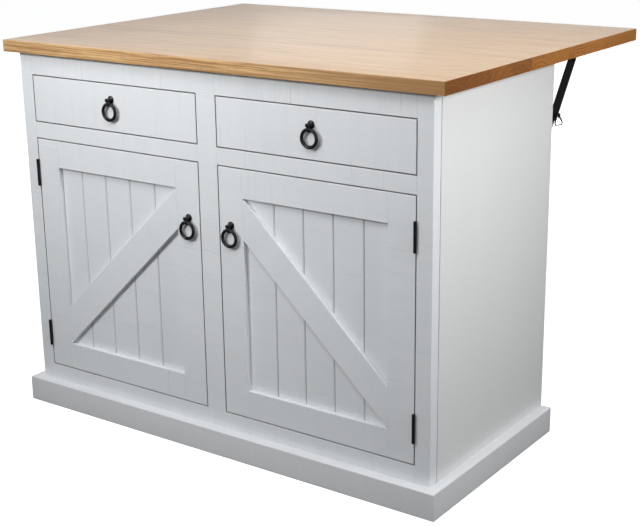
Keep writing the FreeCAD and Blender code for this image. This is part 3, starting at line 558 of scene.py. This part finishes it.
def lay_grain(piece, run):
    run = Vector(run).normalized()
    corners = [vertex.co for vertex in piece.data.vertices]
    centre = sum(corners, Vector()) / len(corners)
    layer = piece.data.uv_layers.new(name="grain")
    start = draw.random() * PATTERN_ROOM
    for loop, uv in zip(piece.data.loops, layer.data):
        corner = corners[loop.vertex_index] - centre
        along = corner.dot(run)
        uv.uv = (start + along, start + sum(corner - run * along))


# Faces that look one of the given ways get the darker gap paint: painted shade for the shadow in a gap.
def shade_gap_faces(piece, directions):
    piece.data.materials.append(sawn_paint)
    piece.data.materials.append(gap_shade_paint)
    for face in piece.data.polygons:
        if any(face.normal.dot(direction) > STRAIGHT_ON for direction in directions):
            face.material_index = GAP_SHADE_SLOT


def board(name, x, y, z, run, gaps=(), width=0.8):
    """A plain painted board with eased edges."""
    piece = start_block(name, x, y, z)
    ease(piece, width)
    lay_grain(piece, run)
    shade_gap_faces(piece, gaps)
    return piece


def glue(name, pieces):
    clear_bench()
    for piece in pieces:
        piece.select_set(True)
    bpy.context.view_layer.objects.active = pieces[0]
    if len(pieces) > 1:
        bpy.ops.object.join()
    pieces[0].name = pieces[0].data.name = name
    return pieces[0]


made_pieces = []
SOFT_BOARD = 16.0  # degrees up to which two faces are shaded as one


def hand_over(piece, finishes, body, nodes, smooth=SOFT_BOARD):
    """Materials, soft shading up to an angle, the body it rides on and the nodes it stands for."""
    clear_bench()
    piece.select_set(True)
    bpy.context.view_layer.objects.active = piece
    bpy.ops.object.shade_smooth_by_angle(angle=math.radians(smooth), keep_sharp_edges=False)
    while len(piece.data.materials) < len(finishes):
        piece.data.materials.append(None)
    for index, finish in enumerate(finishes):
        piece.data.materials[index] = finish
    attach(piece, body)
    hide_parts(*nodes)
    made_pieces.append(piece.name)
    bpy.ops.object.select_all(action="DESELECT")


PAINTED = (sawn_paint, gap_shade_paint)
print("grain maps, glue and hand-over ready")

# %% [markdown]
# ## The face frame
#
# Upright stiles and level rails make a grid that the drawers and doors close flush into. Each member is
# its own board, a little rounded on its edges, so that the joints show as fine lines. Where a member
# borders an opening, its edge face gets the darker gap paint, a painted shade for the shadow in the gap.

# %% Build the face frame
SIDES = ((-1, "left"), (1, "right"))
FRAME_Y = (0, 28)
OPENING_IN, OPENING_OUT, HALF_WIDTH = 26.5, 532.0, 569.0
BOTTOM_HEIGHT, DOORWAY_FOOT, DOORWAY_TOP = 20, 101.5, 682.5
DRAWER_HOLE_FOOT, DRAWER_HOLE_TOP, CABINET_TOP = 720.5, 834, 886.0

for side, word in SIDES:
    stile = board(f"stile_{word}", (side * OPENING_OUT, side * HALF_WIDTH), FRAME_Y, (0, CABINET_TOP),
                  UP, gaps=[LEFT * side, BACK])
    hand_over(stile, PAINTED, "cabinet", [f"face_stile_{word}"])
centre = board("stile_centre", (-OPENING_IN, OPENING_IN), FRAME_Y, (DOORWAY_FOOT, DRAWER_HOLE_TOP), UP,
               gaps=[LEFT, RIGHT])
hand_over(centre, PAINTED, "cabinet", ["face_stile_centre"])
top_rail = board("rail_under_top", (-OPENING_OUT, OPENING_OUT), FRAME_Y,
                 (DRAWER_HOLE_TOP, CABINET_TOP), RIGHT, gaps=[DOWN])
hand_over(top_rail, (rail_paint, gap_shade_paint), "cabinet", ["face_rail_top"])
middle_rails = [board(f"rail_part_{side}", (side * OPENING_IN, side * OPENING_OUT), FRAME_Y,
                      (DOORWAY_TOP, DRAWER_HOLE_FOOT), RIGHT, gaps=[UP, DOWN])
                for side in (-1, 1)]
hand_over(glue("rails_between", middle_rails), PAINTED, "cabinet", ["face_rails_middle"])
foot_rail = board("rail_at_foot", (-OPENING_OUT, OPENING_OUT), FRAME_Y, (BOTTOM_HEIGHT, DOORWAY_FOOT),
                  RIGHT, gaps=[UP])
hand_over(foot_rail, PAINTED, "cabinet", ["face_rail_bottom"])
print("face frame pieces:", len(made_pieces))

# %% [markdown]
# ## Side panels, back and plinth
#
# The side panels are smoother than the front. Each stops two millimetres behind the face frame's stile,
# so that a thin dark seam runs up between them; the panel's front edge face and the stile's back face
# get the darker gap paint, a painted shade for the shadow in that seam. The plinth's boards wrap the
# foot, mitred at the front corners like a picture frame: a slanting saw cut through each end. Its top
# outer edge is rounded more.

# %% Build the panels and the plinth
SEAM = 2.0
PANEL_IN = 551
BACK_IN, CABINET_BACK = 508, 520
PLINTH_TOP = 62.0
PLINTH_OUT = 594.0
PLINTH_FRONT = -25
PLINTH_ROUND = 3.0

for side, word in SIDES:
    panel = board(f"panel_{word}", (side * PANEL_IN, side * HALF_WIDTH),
                  (FRAME_Y[1] + SEAM, CABINET_BACK), (0, CABINET_TOP), UP, gaps=[FRONT], width=1.0)
    hand_over(panel, (smooth_paint, gap_shade_paint), "cabinet", [f"side_panel_{word}"])
back = board("panel_back", (-PANEL_IN, PANEL_IN), (BACK_IN, CABINET_BACK), (BOTTOM_HEIGHT, CABINET_TOP),
             UP)
hand_over(back, (smooth_paint, gap_shade_paint), "cabinet", ["back_panel"])


def plinth_board(name, x, y, outward, run, mitres):
    piece = start_block(name, x, y, (0, PLINTH_TOP))
    for side, normal in mitres:
        saw(piece, point(side * HALF_WIDTH, 0, 0), normal, drop=True)

    def top_outer(edge):
        return middle(edge).z > PLINTH_TOP * MM - HAIR and all(
            abs(face.normal.z) > 0.9 or face.normal.dot(outward) > 0.9 for face in edge.link_faces)

    ease(piece, PLINTH_ROUND, top_outer, segments=4)
    ease(piece, 0.5, lambda edge: sharp(edge) and edge.calc_face_angle() > 0.7)
    lay_grain(piece, run)
    shade_gap_faces(piece, [])
    return piece


def mitre_normal(side, x_part, y_part):
    return Vector((side * x_part, y_part, 0)).normalized()


front_board = plinth_board("plinth_front_board", (-PLINTH_OUT, PLINTH_OUT), (PLINTH_FRONT, 0), FRONT,
                           RIGHT, [(side, mitre_normal(side, 1, 1)) for side in (-1, 1)])
hand_over(front_board, (foot_paint, gap_shade_paint), "cabinet", ["plinth_front"])
plinth_ends = [plinth_board(f"plinth_end_{side}", (side * HALF_WIDTH, side * PLINTH_OUT),
                            (PLINTH_FRONT, CABINET_BACK), RIGHT * side, BACK,
                            [(side, mitre_normal(side, -1, -1))]) for side in (-1, 1)]
hand_over(glue("plinth_side_boards", plinth_ends), (foot_paint, gap_shade_paint), "cabinet", ["plinth_sides"])
print("pieces so far:", len(made_pieces))

# %% [markdown]
# ## The oak top and its leaf
#
# Each slab is one block, sawn into staves so that every stave's faces can carry their own numbers for
# the oak's pattern. The staves stay in one piece, as glued ones do. The outer top edges are rounded by
# two millimetres. Where the two slabs meet, the edges are almost sharp, so that the joint stays fine.

# %% Build the worktop and the leaf
TOP_HALF = 602.5
TOP_HEIGHT = 914
TOP_Y = (-20, 520)
LEAF_Y = (521.5, 895)
TOP_ROUND = 2.0
HEART_ASIDE, SLAB_MIDDLE, HEART_DEPTHS = 0.045, 0.9, (0.05, 0.14)  # metres
STAVE_NUMBERS = ("stave_tone", "heart_y", "heart_z")


def stave_slab(name, y, joint_y, staves):
    piece = start_block(name, (-TOP_HALF, TOP_HALF), y, (CABINET_TOP, TOP_HEIGHT))
    pitch = (y[1] - y[0]) / staves
    for joint in range(1, staves):
        saw(piece, point(0, y[0] + joint * pitch, 0), BACK)
    slabs_meet = point(0, joint_y, 0).y

    def outer_top(edge):
        lowest = min(corner.co.z for corner in edge.verts)
        return sharp(edge) and lowest > (TOP_HEIGHT - 1) * MM and abs(middle(edge).y - slabs_meet) > MM

    ease(piece, TOP_ROUND, outer_top, segments=4)
    ease(piece, 0.6, lambda edge: sharp(edge) and edge.calc_face_angle() > 1.2)
    numbers = {label: piece.data.attributes.new(label, "FLOAT", "FACE") for label in STAVE_NUMBERS}
    hearts = []
    for stave in range(staves):
        centre_y = point(0, y[0] + (stave + 0.5) * pitch, 0).y
        hearts.append((draw.random(), centre_y + draw.uniform(-HEART_ASIDE, HEART_ASIDE),
                       SLAB_MIDDLE - draw.uniform(*HEART_DEPTHS)))
    for face in piece.data.polygons:
        back_of_front = face.center.y / MM - FACE_Y - y[0]
        stave = min(staves - 1, max(0, int(back_of_front / pitch)))
        for label, value in zip(STAVE_NUMBERS, hearts[stave]):
            numbers[label].data[face.index].value = value
    return piece


hand_over(stave_slab("oak_worktop", TOP_Y, TOP_Y[1], 6), [oak_top], "cabinet", ["worktop"])
hand_over(stave_slab("oak_leaf", LEAF_Y, LEAF_Y[0], 4), [oak_top], "leaf", ["drop_leaf"])
print("oak slabs:", made_pieces[-2:])

# %% [markdown]
# ## Drawer fronts
#
# A drawer front is one wide board that sits flush in its opening, with an even gap all round. All four
# of its edge faces get the darker gap paint, a painted shade for the shadow in that gap.

# %% Build the drawer fronts
FRONT_IN, FRONT_OUT = 29.0, 529.5
DRAWER_Y = (0, 20)
DRAWER_Z = (723, 831.5)

for side, word in SIDES:
    front = board(f"drawer_front_{word}", (side * FRONT_IN, side * FRONT_OUT), DRAWER_Y, DRAWER_Z, RIGHT,
                  gaps=[LEFT, RIGHT, UP, DOWN], width=1.0)
    hand_over(front, PAINTED, f"drawer_{word}", [f"drawer_{word}_front"])
print("drawer fronts:", made_pieces[-2:])

# %% [markdown]
# ## Door stiles and rails
#
# The door's frame is rebated behind, so that the boards lap into it. In edit mode that is easiest the
# other way round: the block starts as thick as the front part, it is sawn along the rebate's lines, and
# then only the faces outside the rebate grow backwards.

# %% Build the door frames
DOOR_FOOT, DOOR_TOP = 104.0, 680.0
FIELD_IN, FIELD_OUT, FIELD_FOOT, FIELD_TOP = 94.0, 464.5, 169.0, 615.0
BOARD_FACE = 11.0
BOARD_THICKNESS = 17.0
LAP = 10.0
EASED = 0.9


def thicken(piece, in_rebate):
    """Grow the back faces outside the rebate to the door's full thickness."""
    look_back = facing(BACK)
    grow(piece, lambda face: look_back(face) and not in_rebate(face.calc_center_median() / MM),
         (0, BOARD_THICKNESS, 0))


def door_stile(side, x_edge, x_field):
    into = 1 if x_field > x_edge else -1
    x_lap = x_field - into * LAP
    piece = start_block("door_stile", (side * x_edge, side * x_field), (0, BOARD_FACE),
                        (DOOR_FOOT, DOOR_TOP))
    saw(piece, point(side * x_lap, 0, 0), RIGHT)
    saw(piece, point(0, 0, FIELD_FOOT - LAP), UP)
    saw(piece, point(0, 0, FIELD_TOP + LAP), UP)
    thicken(piece, lambda at: (into * (abs(at.x) - x_lap) > 0
                               and FIELD_FOOT - LAP < at.z < FIELD_TOP + LAP))
    ease(piece, EASED)
    lay_grain(piece, UP)
    # Edge faces on the doorway get the darker gap paint: painted shade for the gap's shadow.
    shade_gap_faces(piece, [RIGHT * (-side * into), UP, DOWN])
    return piece


def door_rail(side, z_edge, z_field):
    up = 1 if z_field > z_edge else -1
    z_lap = z_field - up * LAP
    piece = start_block("door_rail", (side * FIELD_IN, side * FIELD_OUT), (0, BOARD_FACE),
                        (z_edge, z_field))
    saw(piece, point(0, 0, z_lap), UP)
    thicken(piece, lambda at: up * (at.z - z_lap) > 0)
    ease(piece, EASED)
    lay_grain(piece, RIGHT)
    # The rail's outer edge face gets the darker gap paint: painted shade for the gap's shadow.
    shade_gap_faces(piece, [UP * -up])
    return piece


for side, word in SIDES:
    stiles = [door_stile(side, FRONT_IN, FIELD_IN), door_stile(side, FRONT_OUT, FIELD_OUT)]
    hand_over(glue(f"door_stiles_{word}", stiles), PAINTED, f"door_{word}", [f"door_{word}_stiles"])
    rails = [door_rail(side, DOOR_FOOT, FIELD_FOOT), door_rail(side, DOOR_TOP, FIELD_TOP)]
    hand_over(glue(f"door_rails_{word}", rails), PAINTED, f"door_{word}", [f"door_{word}_rails"])
print("door frames:", made_pieces[-4:])

# %% [markdown]
# ## Plank field and brace
#
# Five tongue-and-groove boards fill each door. Their long front edges are chamfered, so that two boards
# meet in a V, and a hair of room at its bottom keeps it dark. The tongue is a strip of the side face,
# extruded into the next board. The brace starts as a short upright block. Its far end is then lifted to
# the upper corner, which makes a leaning board whose ends stay upright.

# %% Build the plank fields and the braces
BOARD_EDGES = (84.0, 170.5, 247.0, 323.5, 400.0, 474.5)
JOINT_ROOM = 0.45
VEE = 2.2
TONGUE = 4.6
TONGUE_HALF = 2.0
BRACE_WIDTH = 68.0


def plank(side, near, far):
    near_joint = near in BOARD_EDGES[1:-1]
    far_joint = far in BOARD_EDGES[1:-1]
    x = (near + JOINT_ROOM * near_joint, far - JOINT_ROOM * far_joint)
    piece = start_block("plank", (side * x[0], side * x[1]), (BOARD_FACE, BOARD_FACE + BOARD_THICKNESS),
                        (FIELD_FOOT - LAP, FIELD_TOP + LAP))
    vees = [edge for edge, joint in zip(x, (near_joint, far_joint)) if joint]
    front_y = point(0, BOARD_FACE, 0).y
    ease(piece, VEE, lambda edge: (abs(middle(edge).y - front_y) < HAIR and any(
        abs(abs(middle(edge).x) - vee * MM) < HAIR for vee in vees)), segments=1)
    if far_joint:
        middle_y = BOARD_FACE + BOARD_THICKNESS / 2
        for y in (middle_y - TONGUE_HALF, middle_y + TONGUE_HALF):
            saw(piece, point(0, y, 0), BACK)
        out = facing(RIGHT * side)
        strip_y = point(0, middle_y, 0).y
        grow(piece, lambda face: out(face) and abs(face.calc_center_median().y - strip_y) < MM,
             (side * TONGUE, 0, 0))
    lay_grain(piece, UP)
    # Side faces in the joints get the darker gap paint: painted shade for the shadow between boards.
    shade_gap_faces(piece, [LEFT, RIGHT])
    return piece


def brace(name, side):
    width, height = FIELD_OUT - FIELD_IN, FIELD_TOP - FIELD_FOOT
    lean = math.acos(BRACE_WIDTH / math.hypot(width, height)) - math.atan2(width, height)
    end_height = BRACE_WIDTH / math.cos(lean)
    lift = height - end_height
    piece = start_block(name, (side * FIELD_IN, side * FIELD_OUT), (0, BOARD_FACE),
                        (FIELD_FOOT, FIELD_FOOT + end_height))
    shift(piece, "FACE", facing(LEFT * side), (0, 0, lift))
    ease(piece, EASED)
    lay_grain(piece, (-side * width, 0, lift))
    shade_gap_faces(piece, [])
    return piece


for side, word in SIDES:
    planks = [plank(side, near, far) for near, far in zip(BOARD_EDGES, BOARD_EDGES[1:])]
    hand_over(glue(f"door_planks_{word}", planks), PAINTED, f"door_{word}", [f"door_{word}_boards"])
    hand_over(brace(f"door_brace_{word}", side), PAINTED, f"door_{word}", [f"door_{word}_brace"])
print("fields and braces done:", len(made_pieces))

# %% [markdown]
# ## Turned ironwork
#
# The pulls' posts are turned on a lathe. A circle at the face is extruded outwards step by step, and
# each new ring of points is scaled to the radius that the profile has there. The profile is a list of
# distances and radii, which is how a turner would mark it on the work.

# %% Define the lathe
LATHE_SIDES = 32


def turn(name, foot, outwards, profile):
    clear_bench()
    (first_at, first_radius), rest = profile[0], profile[1:]
    turned_to = outwards.to_track_quat("Z", "Y").to_euler()
    bpy.ops.mesh.primitive_circle_add(vertices=LATHE_SIDES, radius=first_radius * MM, calc_uvs=False,
                                      fill_type="NGON", location=foot + outwards * (first_at * MM),
                                      rotation=turned_to)
    piece = settle(name)
    bpy.ops.object.mode_set(mode="EDIT")
    bpy.ops.mesh.select_mode(type="FACE")
    bpy.ops.mesh.select_all(action="SELECT")
    at, radius = first_at, first_radius
    for next_at, next_radius in rest:
        step = outwards * ((next_at - at) * MM)
        bpy.ops.mesh.extrude_region_move(TRANSFORM_OT_translate={"value": step})
        bpy.ops.transform.resize(value=(next_radius / radius,) * 3,
                                 center_override=foot + outwards * (next_at * MM))
        at, radius = next_at, next_radius
    bpy.ops.mesh.select_all(action="SELECT")
    bpy.ops.mesh.normals_make_consistent(inside=False)
    bpy.ops.object.mode_set(mode="OBJECT")
    return piece


print("lathe ready, sides:", LATHE_SIDES)

# %% [markdown]
# ## The ring pulls
#
# Each pull has a domed rosette on the wood, a thin stem with a small cap, an eye under the stem, and a
# ring that swings in the eye. The eye is a small torus, stretched along its hole. The ring is a larger
# torus, a little thinner near the eye, where hands and the eye have worn it.

# %% Build the pulls
SOFT_POST, SOFT_RING = 50.0, 60.0
POST_PROFILE = ((0.0, 8.8), (0.9, 8.8), (1.7, 8.3), (2.4, 7.2), (2.9, 5.6), (3.3, 3.9), (4.2, 3.3),
                (8.0, 3.6), (12.2, 3.2), (13.0, 3.7), (13.5, 4.6), (14.9, 4.8), (15.7, 4.1), (16.0, 2.6))
RING_OUT = 8.0
EYE_DROP = 9.0
EYE_RADIUS = 5.5
EYE_WIRE = 1.2
EYE_WIDENING = 2.05
EYE_SEGMENTS, EYE_SIDES = 32, 12
RING_RADIUS = 18.6
RING_BAR = 3.9
RING_SEGMENTS, RING_SIDES = 56, 18
THIN_STEPS = (-4.0, 4.0, 11.0)
THIN_BY = 0.08
PULLS = (("door", 60.5, 551.0), ("drawer", 279.5, 796.5))


def pull_post(name, x, z):
    post = turn(name, point(x, 0, z), FRONT, POST_PROFILE)
    clear_bench()
    eye_at = point(x, -RING_OUT, z - EYE_DROP)
    bpy.ops.mesh.primitive_torus_add(location=eye_at, rotation=(0, math.pi / 2, 0),
                                     major_segments=EYE_SEGMENTS, minor_segments=EYE_SIDES,
                                     major_radius=EYE_RADIUS * MM, minor_radius=EYE_WIRE * MM,
                                     generate_uvs=False)
    eye = settle("eye")
    pick(eye, "VERT", lambda vertex: True)
    bpy.ops.transform.resize(value=(EYE_WIDENING, 1, 1), center_override=eye_at)
    bpy.ops.object.mode_set(mode="OBJECT")
    return glue(name, [post, eye])


def pull_ring(name, x, z):
    clear_bench()
    hang = point(x, -RING_OUT, z - EYE_DROP - RING_RADIUS)
    bpy.ops.mesh.primitive_torus_add(location=hang, rotation=(math.pi / 2, 0, 0),
                                     major_segments=RING_SEGMENTS, minor_segments=RING_SIDES,
                                     major_radius=RING_RADIUS * MM, minor_radius=RING_BAR * MM,
                                     generate_uvs=False)
    ring = settle(name)
    for height in THIN_STEPS:
        pick(ring, "VERT", lambda vertex: vertex.co.z > hang.z + height * MM)
        bpy.ops.transform.shrink_fatten(value=-THIN_BY * MM)
        bpy.ops.object.mode_set(mode="OBJECT")
    return ring


for side, word in SIDES:
    for owner, x, z in PULLS:
        post = pull_post(f"{owner}_post_{word}", side * x, z)
        hand_over(post, [iron], f"{owner}_{word}", [f"{owner}_{word}_pull_post"],
                  SOFT_POST)
        ring = pull_ring(f"{owner}_ring_bar_{word}", side * x, z)
        hand_over(ring, [iron], f"{owner}_ring_{word}", [f"{owner}_{word}_pull_ring"],
                  SOFT_RING)
print("pulls done:", len(made_pieces))

# %% [markdown]
# ## Hinges and brackets
#
# The hinge leaves, the bracket's pressed steel and its rivets have the right shape in the CAD model, but
# their edges are perfectly sharp, and real pressed steel never is. A copy of each node is welded, its
# flat faces are joined up again, and a bevel modifier rounds whatever edge is still sharp.

# %% Round the edges of the ironwork
HINGE_EDGE, PRESSED_EDGE, RIVET_EDGE, WIRE_EDGE = 0.25, 0.5, 0.2, 0.0
WELD_WITHIN = 0.01
FLAT_WITHIN = 1.0
BEVEL_FROM = 35.0
SOFT_STEEL = 18.0


def eased_copy(node_name, name, width):
    clear_bench()
    piece = bpy.data.objects.new(name, frame["nodes"][node_name].data.copy())
    bpy.context.scene.collection.objects.link(piece)
    piece.data.name = name
    piece.data.materials.clear()
    pick(piece, "VERT", lambda vertex: True)
    bpy.ops.mesh.customdata_custom_splitnormals_clear()
    bpy.ops.mesh.remove_doubles(threshold=WELD_WITHIN * MM)
    bpy.ops.mesh.dissolve_limited(angle_limit=math.radians(FLAT_WITHIN))
    bpy.ops.object.mode_set(mode="OBJECT")
    if width:
        bevel = piece.modifiers.new("ease", "BEVEL")
        bevel.width = width * MM
        bevel.segments = 2
        bevel.limit_method = "ANGLE"
        bevel.angle_limit = math.radians(BEVEL_FROM)
        bpy.ops.object.modifier_apply(modifier=bevel.name)
    return piece


def round_edges(node_name, name, body, width):
    hand_over(eased_copy(node_name, name, width), [iron], body, [node_name], SOFT_STEEL)


round_edges("hinge_frame_leaves", "hinge_leaves_on_frame", "cabinet", HINGE_EDGE)
round_edges("bracket_wall_legs", "bracket_legs", "cabinet", PRESSED_EDGE)
round_edges("bracket_wall_screws", "bracket_leg_screws", "cabinet", RIVET_EDGE)
round_edges("bracket_pivot_pins", "bracket_rivets", "cabinet", RIVET_EDGE)
round_edges("bracket_arms", "bracket_arm_bars", "leaf", PRESSED_EDGE)
for _, word in SIDES:
    round_edges(f"door_{word}_hinge_leaves", f"hinge_leaves_{word}_door", f"door_{word}", HINGE_EDGE)
    round_edges(f"bracket_{word}_lower_link", f"strut_{word}_lower", f"lower_link_{word}", PRESSED_EDGE)
    round_edges(f"bracket_{word}_upper_link", f"strut_{word}_upper", f"upper_link_{word}", PRESSED_EDGE)
    round_edges(f"bracket_{word}_release_loop", f"loop_wire_{word}", f"release_loop_{word}", WIRE_EDGE)
print("ironwork done:", len(made_pieces))

# %% [markdown]
# ## The floor and the sky
#
# The floor glows with its own pale light and throws none back, so the foot of the cabinet stays darker
# than its head. The sky is dim below the horizon, brightest just above it and dimmer higher up. What the
# camera itself sees beyond the floor is plain white: a light path node tells the two apart.

# %% Lay the floor and light the sky
FLOOR_SIZE = 1500.0
SKY_LOW = 0.39
SKY_HIGH = 0.24
SKY_BELOW = 0.07
HORIZON = (0.49, 0.51)
SKY_BEND = 0.75

bpy.ops.mesh.primitive_plane_add(size=FLOOR_SIZE, location=(0, 0, 0))
floor = bpy.context.object
floor.name = "studio_floor"
floor_shader = Shader("studio_floor", Roughness=0.9, Emission_Strength=1.0,
                      Emission_Color=rgba(0.75, 0.75, 0.75), Base_Color=rgba(0.93, 0.93, 0.93))
floor.data.materials.append(floor_shader.finish())
floor.visible_diffuse = False
floor.visible_glossy = False
bpy.ops.object.select_all(action="DESELECT")


def sky_tint(level):
    return rgba(level * 0.97, level * 0.985, level)


world = bpy.data.worlds.new("studio")
world.use_nodes = True
sky = Nodes(world.node_tree)
height = sky.axes(sky.node("ShaderNodeTexCoord", {}, {}, "Generated"))[2] * 0.5 + 0.5
sky_stops = ((0.0, rgba(SKY_BELOW, SKY_BELOW, SKY_BELOW)), (HORIZON[0], sky_tint(SKY_BELOW)),
             (HORIZON[1], sky_tint(SKY_LOW)), (SKY_BEND, sky_tint(SKY_HIGH)),
             (1.0, rgba(SKY_HIGH, SKY_HIGH, SKY_HIGH)))
glow = sky.node("ShaderNodeValToRGB", {"stops": sky_stops}, {0: height})
dim_walls = sky.node("ShaderNodeBackground", {}, {"Color": glow})
backdrop = sky.node("ShaderNodeBackground", {}, {"Color": rgba(0.96, 0.96, 0.96)})
seen = sky.node("ShaderNodeLightPath", {}, {}, "Is Camera Ray")
either = sky.node("ShaderNodeMixShader", {}, {0: seen, 1: dim_walls, 2: backdrop})
sky.feed(world.node_tree.nodes["World Output"].inputs["Surface"], either)
bpy.context.scene.world = world
print("sky stops:", [(place, round(colour[2], 2)) for place, colour in sky_stops])

# %% [markdown]
# ## The lamps
#
# The key lamp stands in front, a little to the left and not much above the top, so that the pulls throw
# short shadows to the right. A wider lamp near the ceiling, also in front, lights the ledges of the
# doors' rails and leaves a soft shade under the overhang and under each brace, which sets the braces off
# from the planks. A lamp to the right lights only the side panel, and one overhead lights the oak. Two
# behind show as a sheen on the oak. Two low and long ones keep the back and the left side from going
# dark. `spread` narrows a lamp's beam, as a grid in front of a studio lamp does.

# %% Hang the lamps
def soft_light(name, place, target, size, power, spread=180.0, low=None):
    """A square lamp, or one as high as low says."""
    data = bpy.data.lights.new(name, "AREA")
    data.shape = "RECTANGLE" if low else "SQUARE"
    data.size = size
    if low:
        data.size_y = low
    data.energy = power
    data.spread = math.radians(spread)
    light = bpy.data.objects.new(name, data)
    light.location = place
    light.rotation_euler = (Vector(target) - Vector(place)).to_track_quat("-Z", "Y").to_euler()
    bpy.context.scene.collection.objects.link(light)


soft_light("key", (-0.85, -2.35, 1.66), (-0.20, -0.43, 1.14), 0.42, 6.3, spread=78.0)
soft_light("ceiling", (0.45, -2.05, 2.85), (-0.05, -0.43, 0.70), 1.3, 12.5, spread=118.0)
soft_light("right", (2.9, -0.42, 1.70), (0.57, -0.40, 1.02), 0.9, 7.4, spread=62.0)
soft_light("overhead", (1.1, 0.0, 3.0), (0.5, -0.1, 0.9), 1.6, 6.5, spread=90.0)
soft_light("window_wall", (-3.2, 5.2, 1.5), (0.0, 0.0, 0.9), 6.0, 44.0)
soft_light("sheen", (-2.0, 3.0, 1.6), (0.0, 0.0, 0.9), 0.9, 0.9)
soft_light("low_fill", (-1.6, 3.4, 0.46), (0.0, 0.0, 0.46), 3.0, 34.0, low=0.84)
soft_light("low_fill", (-3.4, 0.25, 0.46), (0.0, 0.0, 0.46), 3.0, 20.0, low=0.84)
bpy.context.scene.view_settings.view_transform = "Standard"
print("lamps:", [item.name for item in bpy.data.lights])
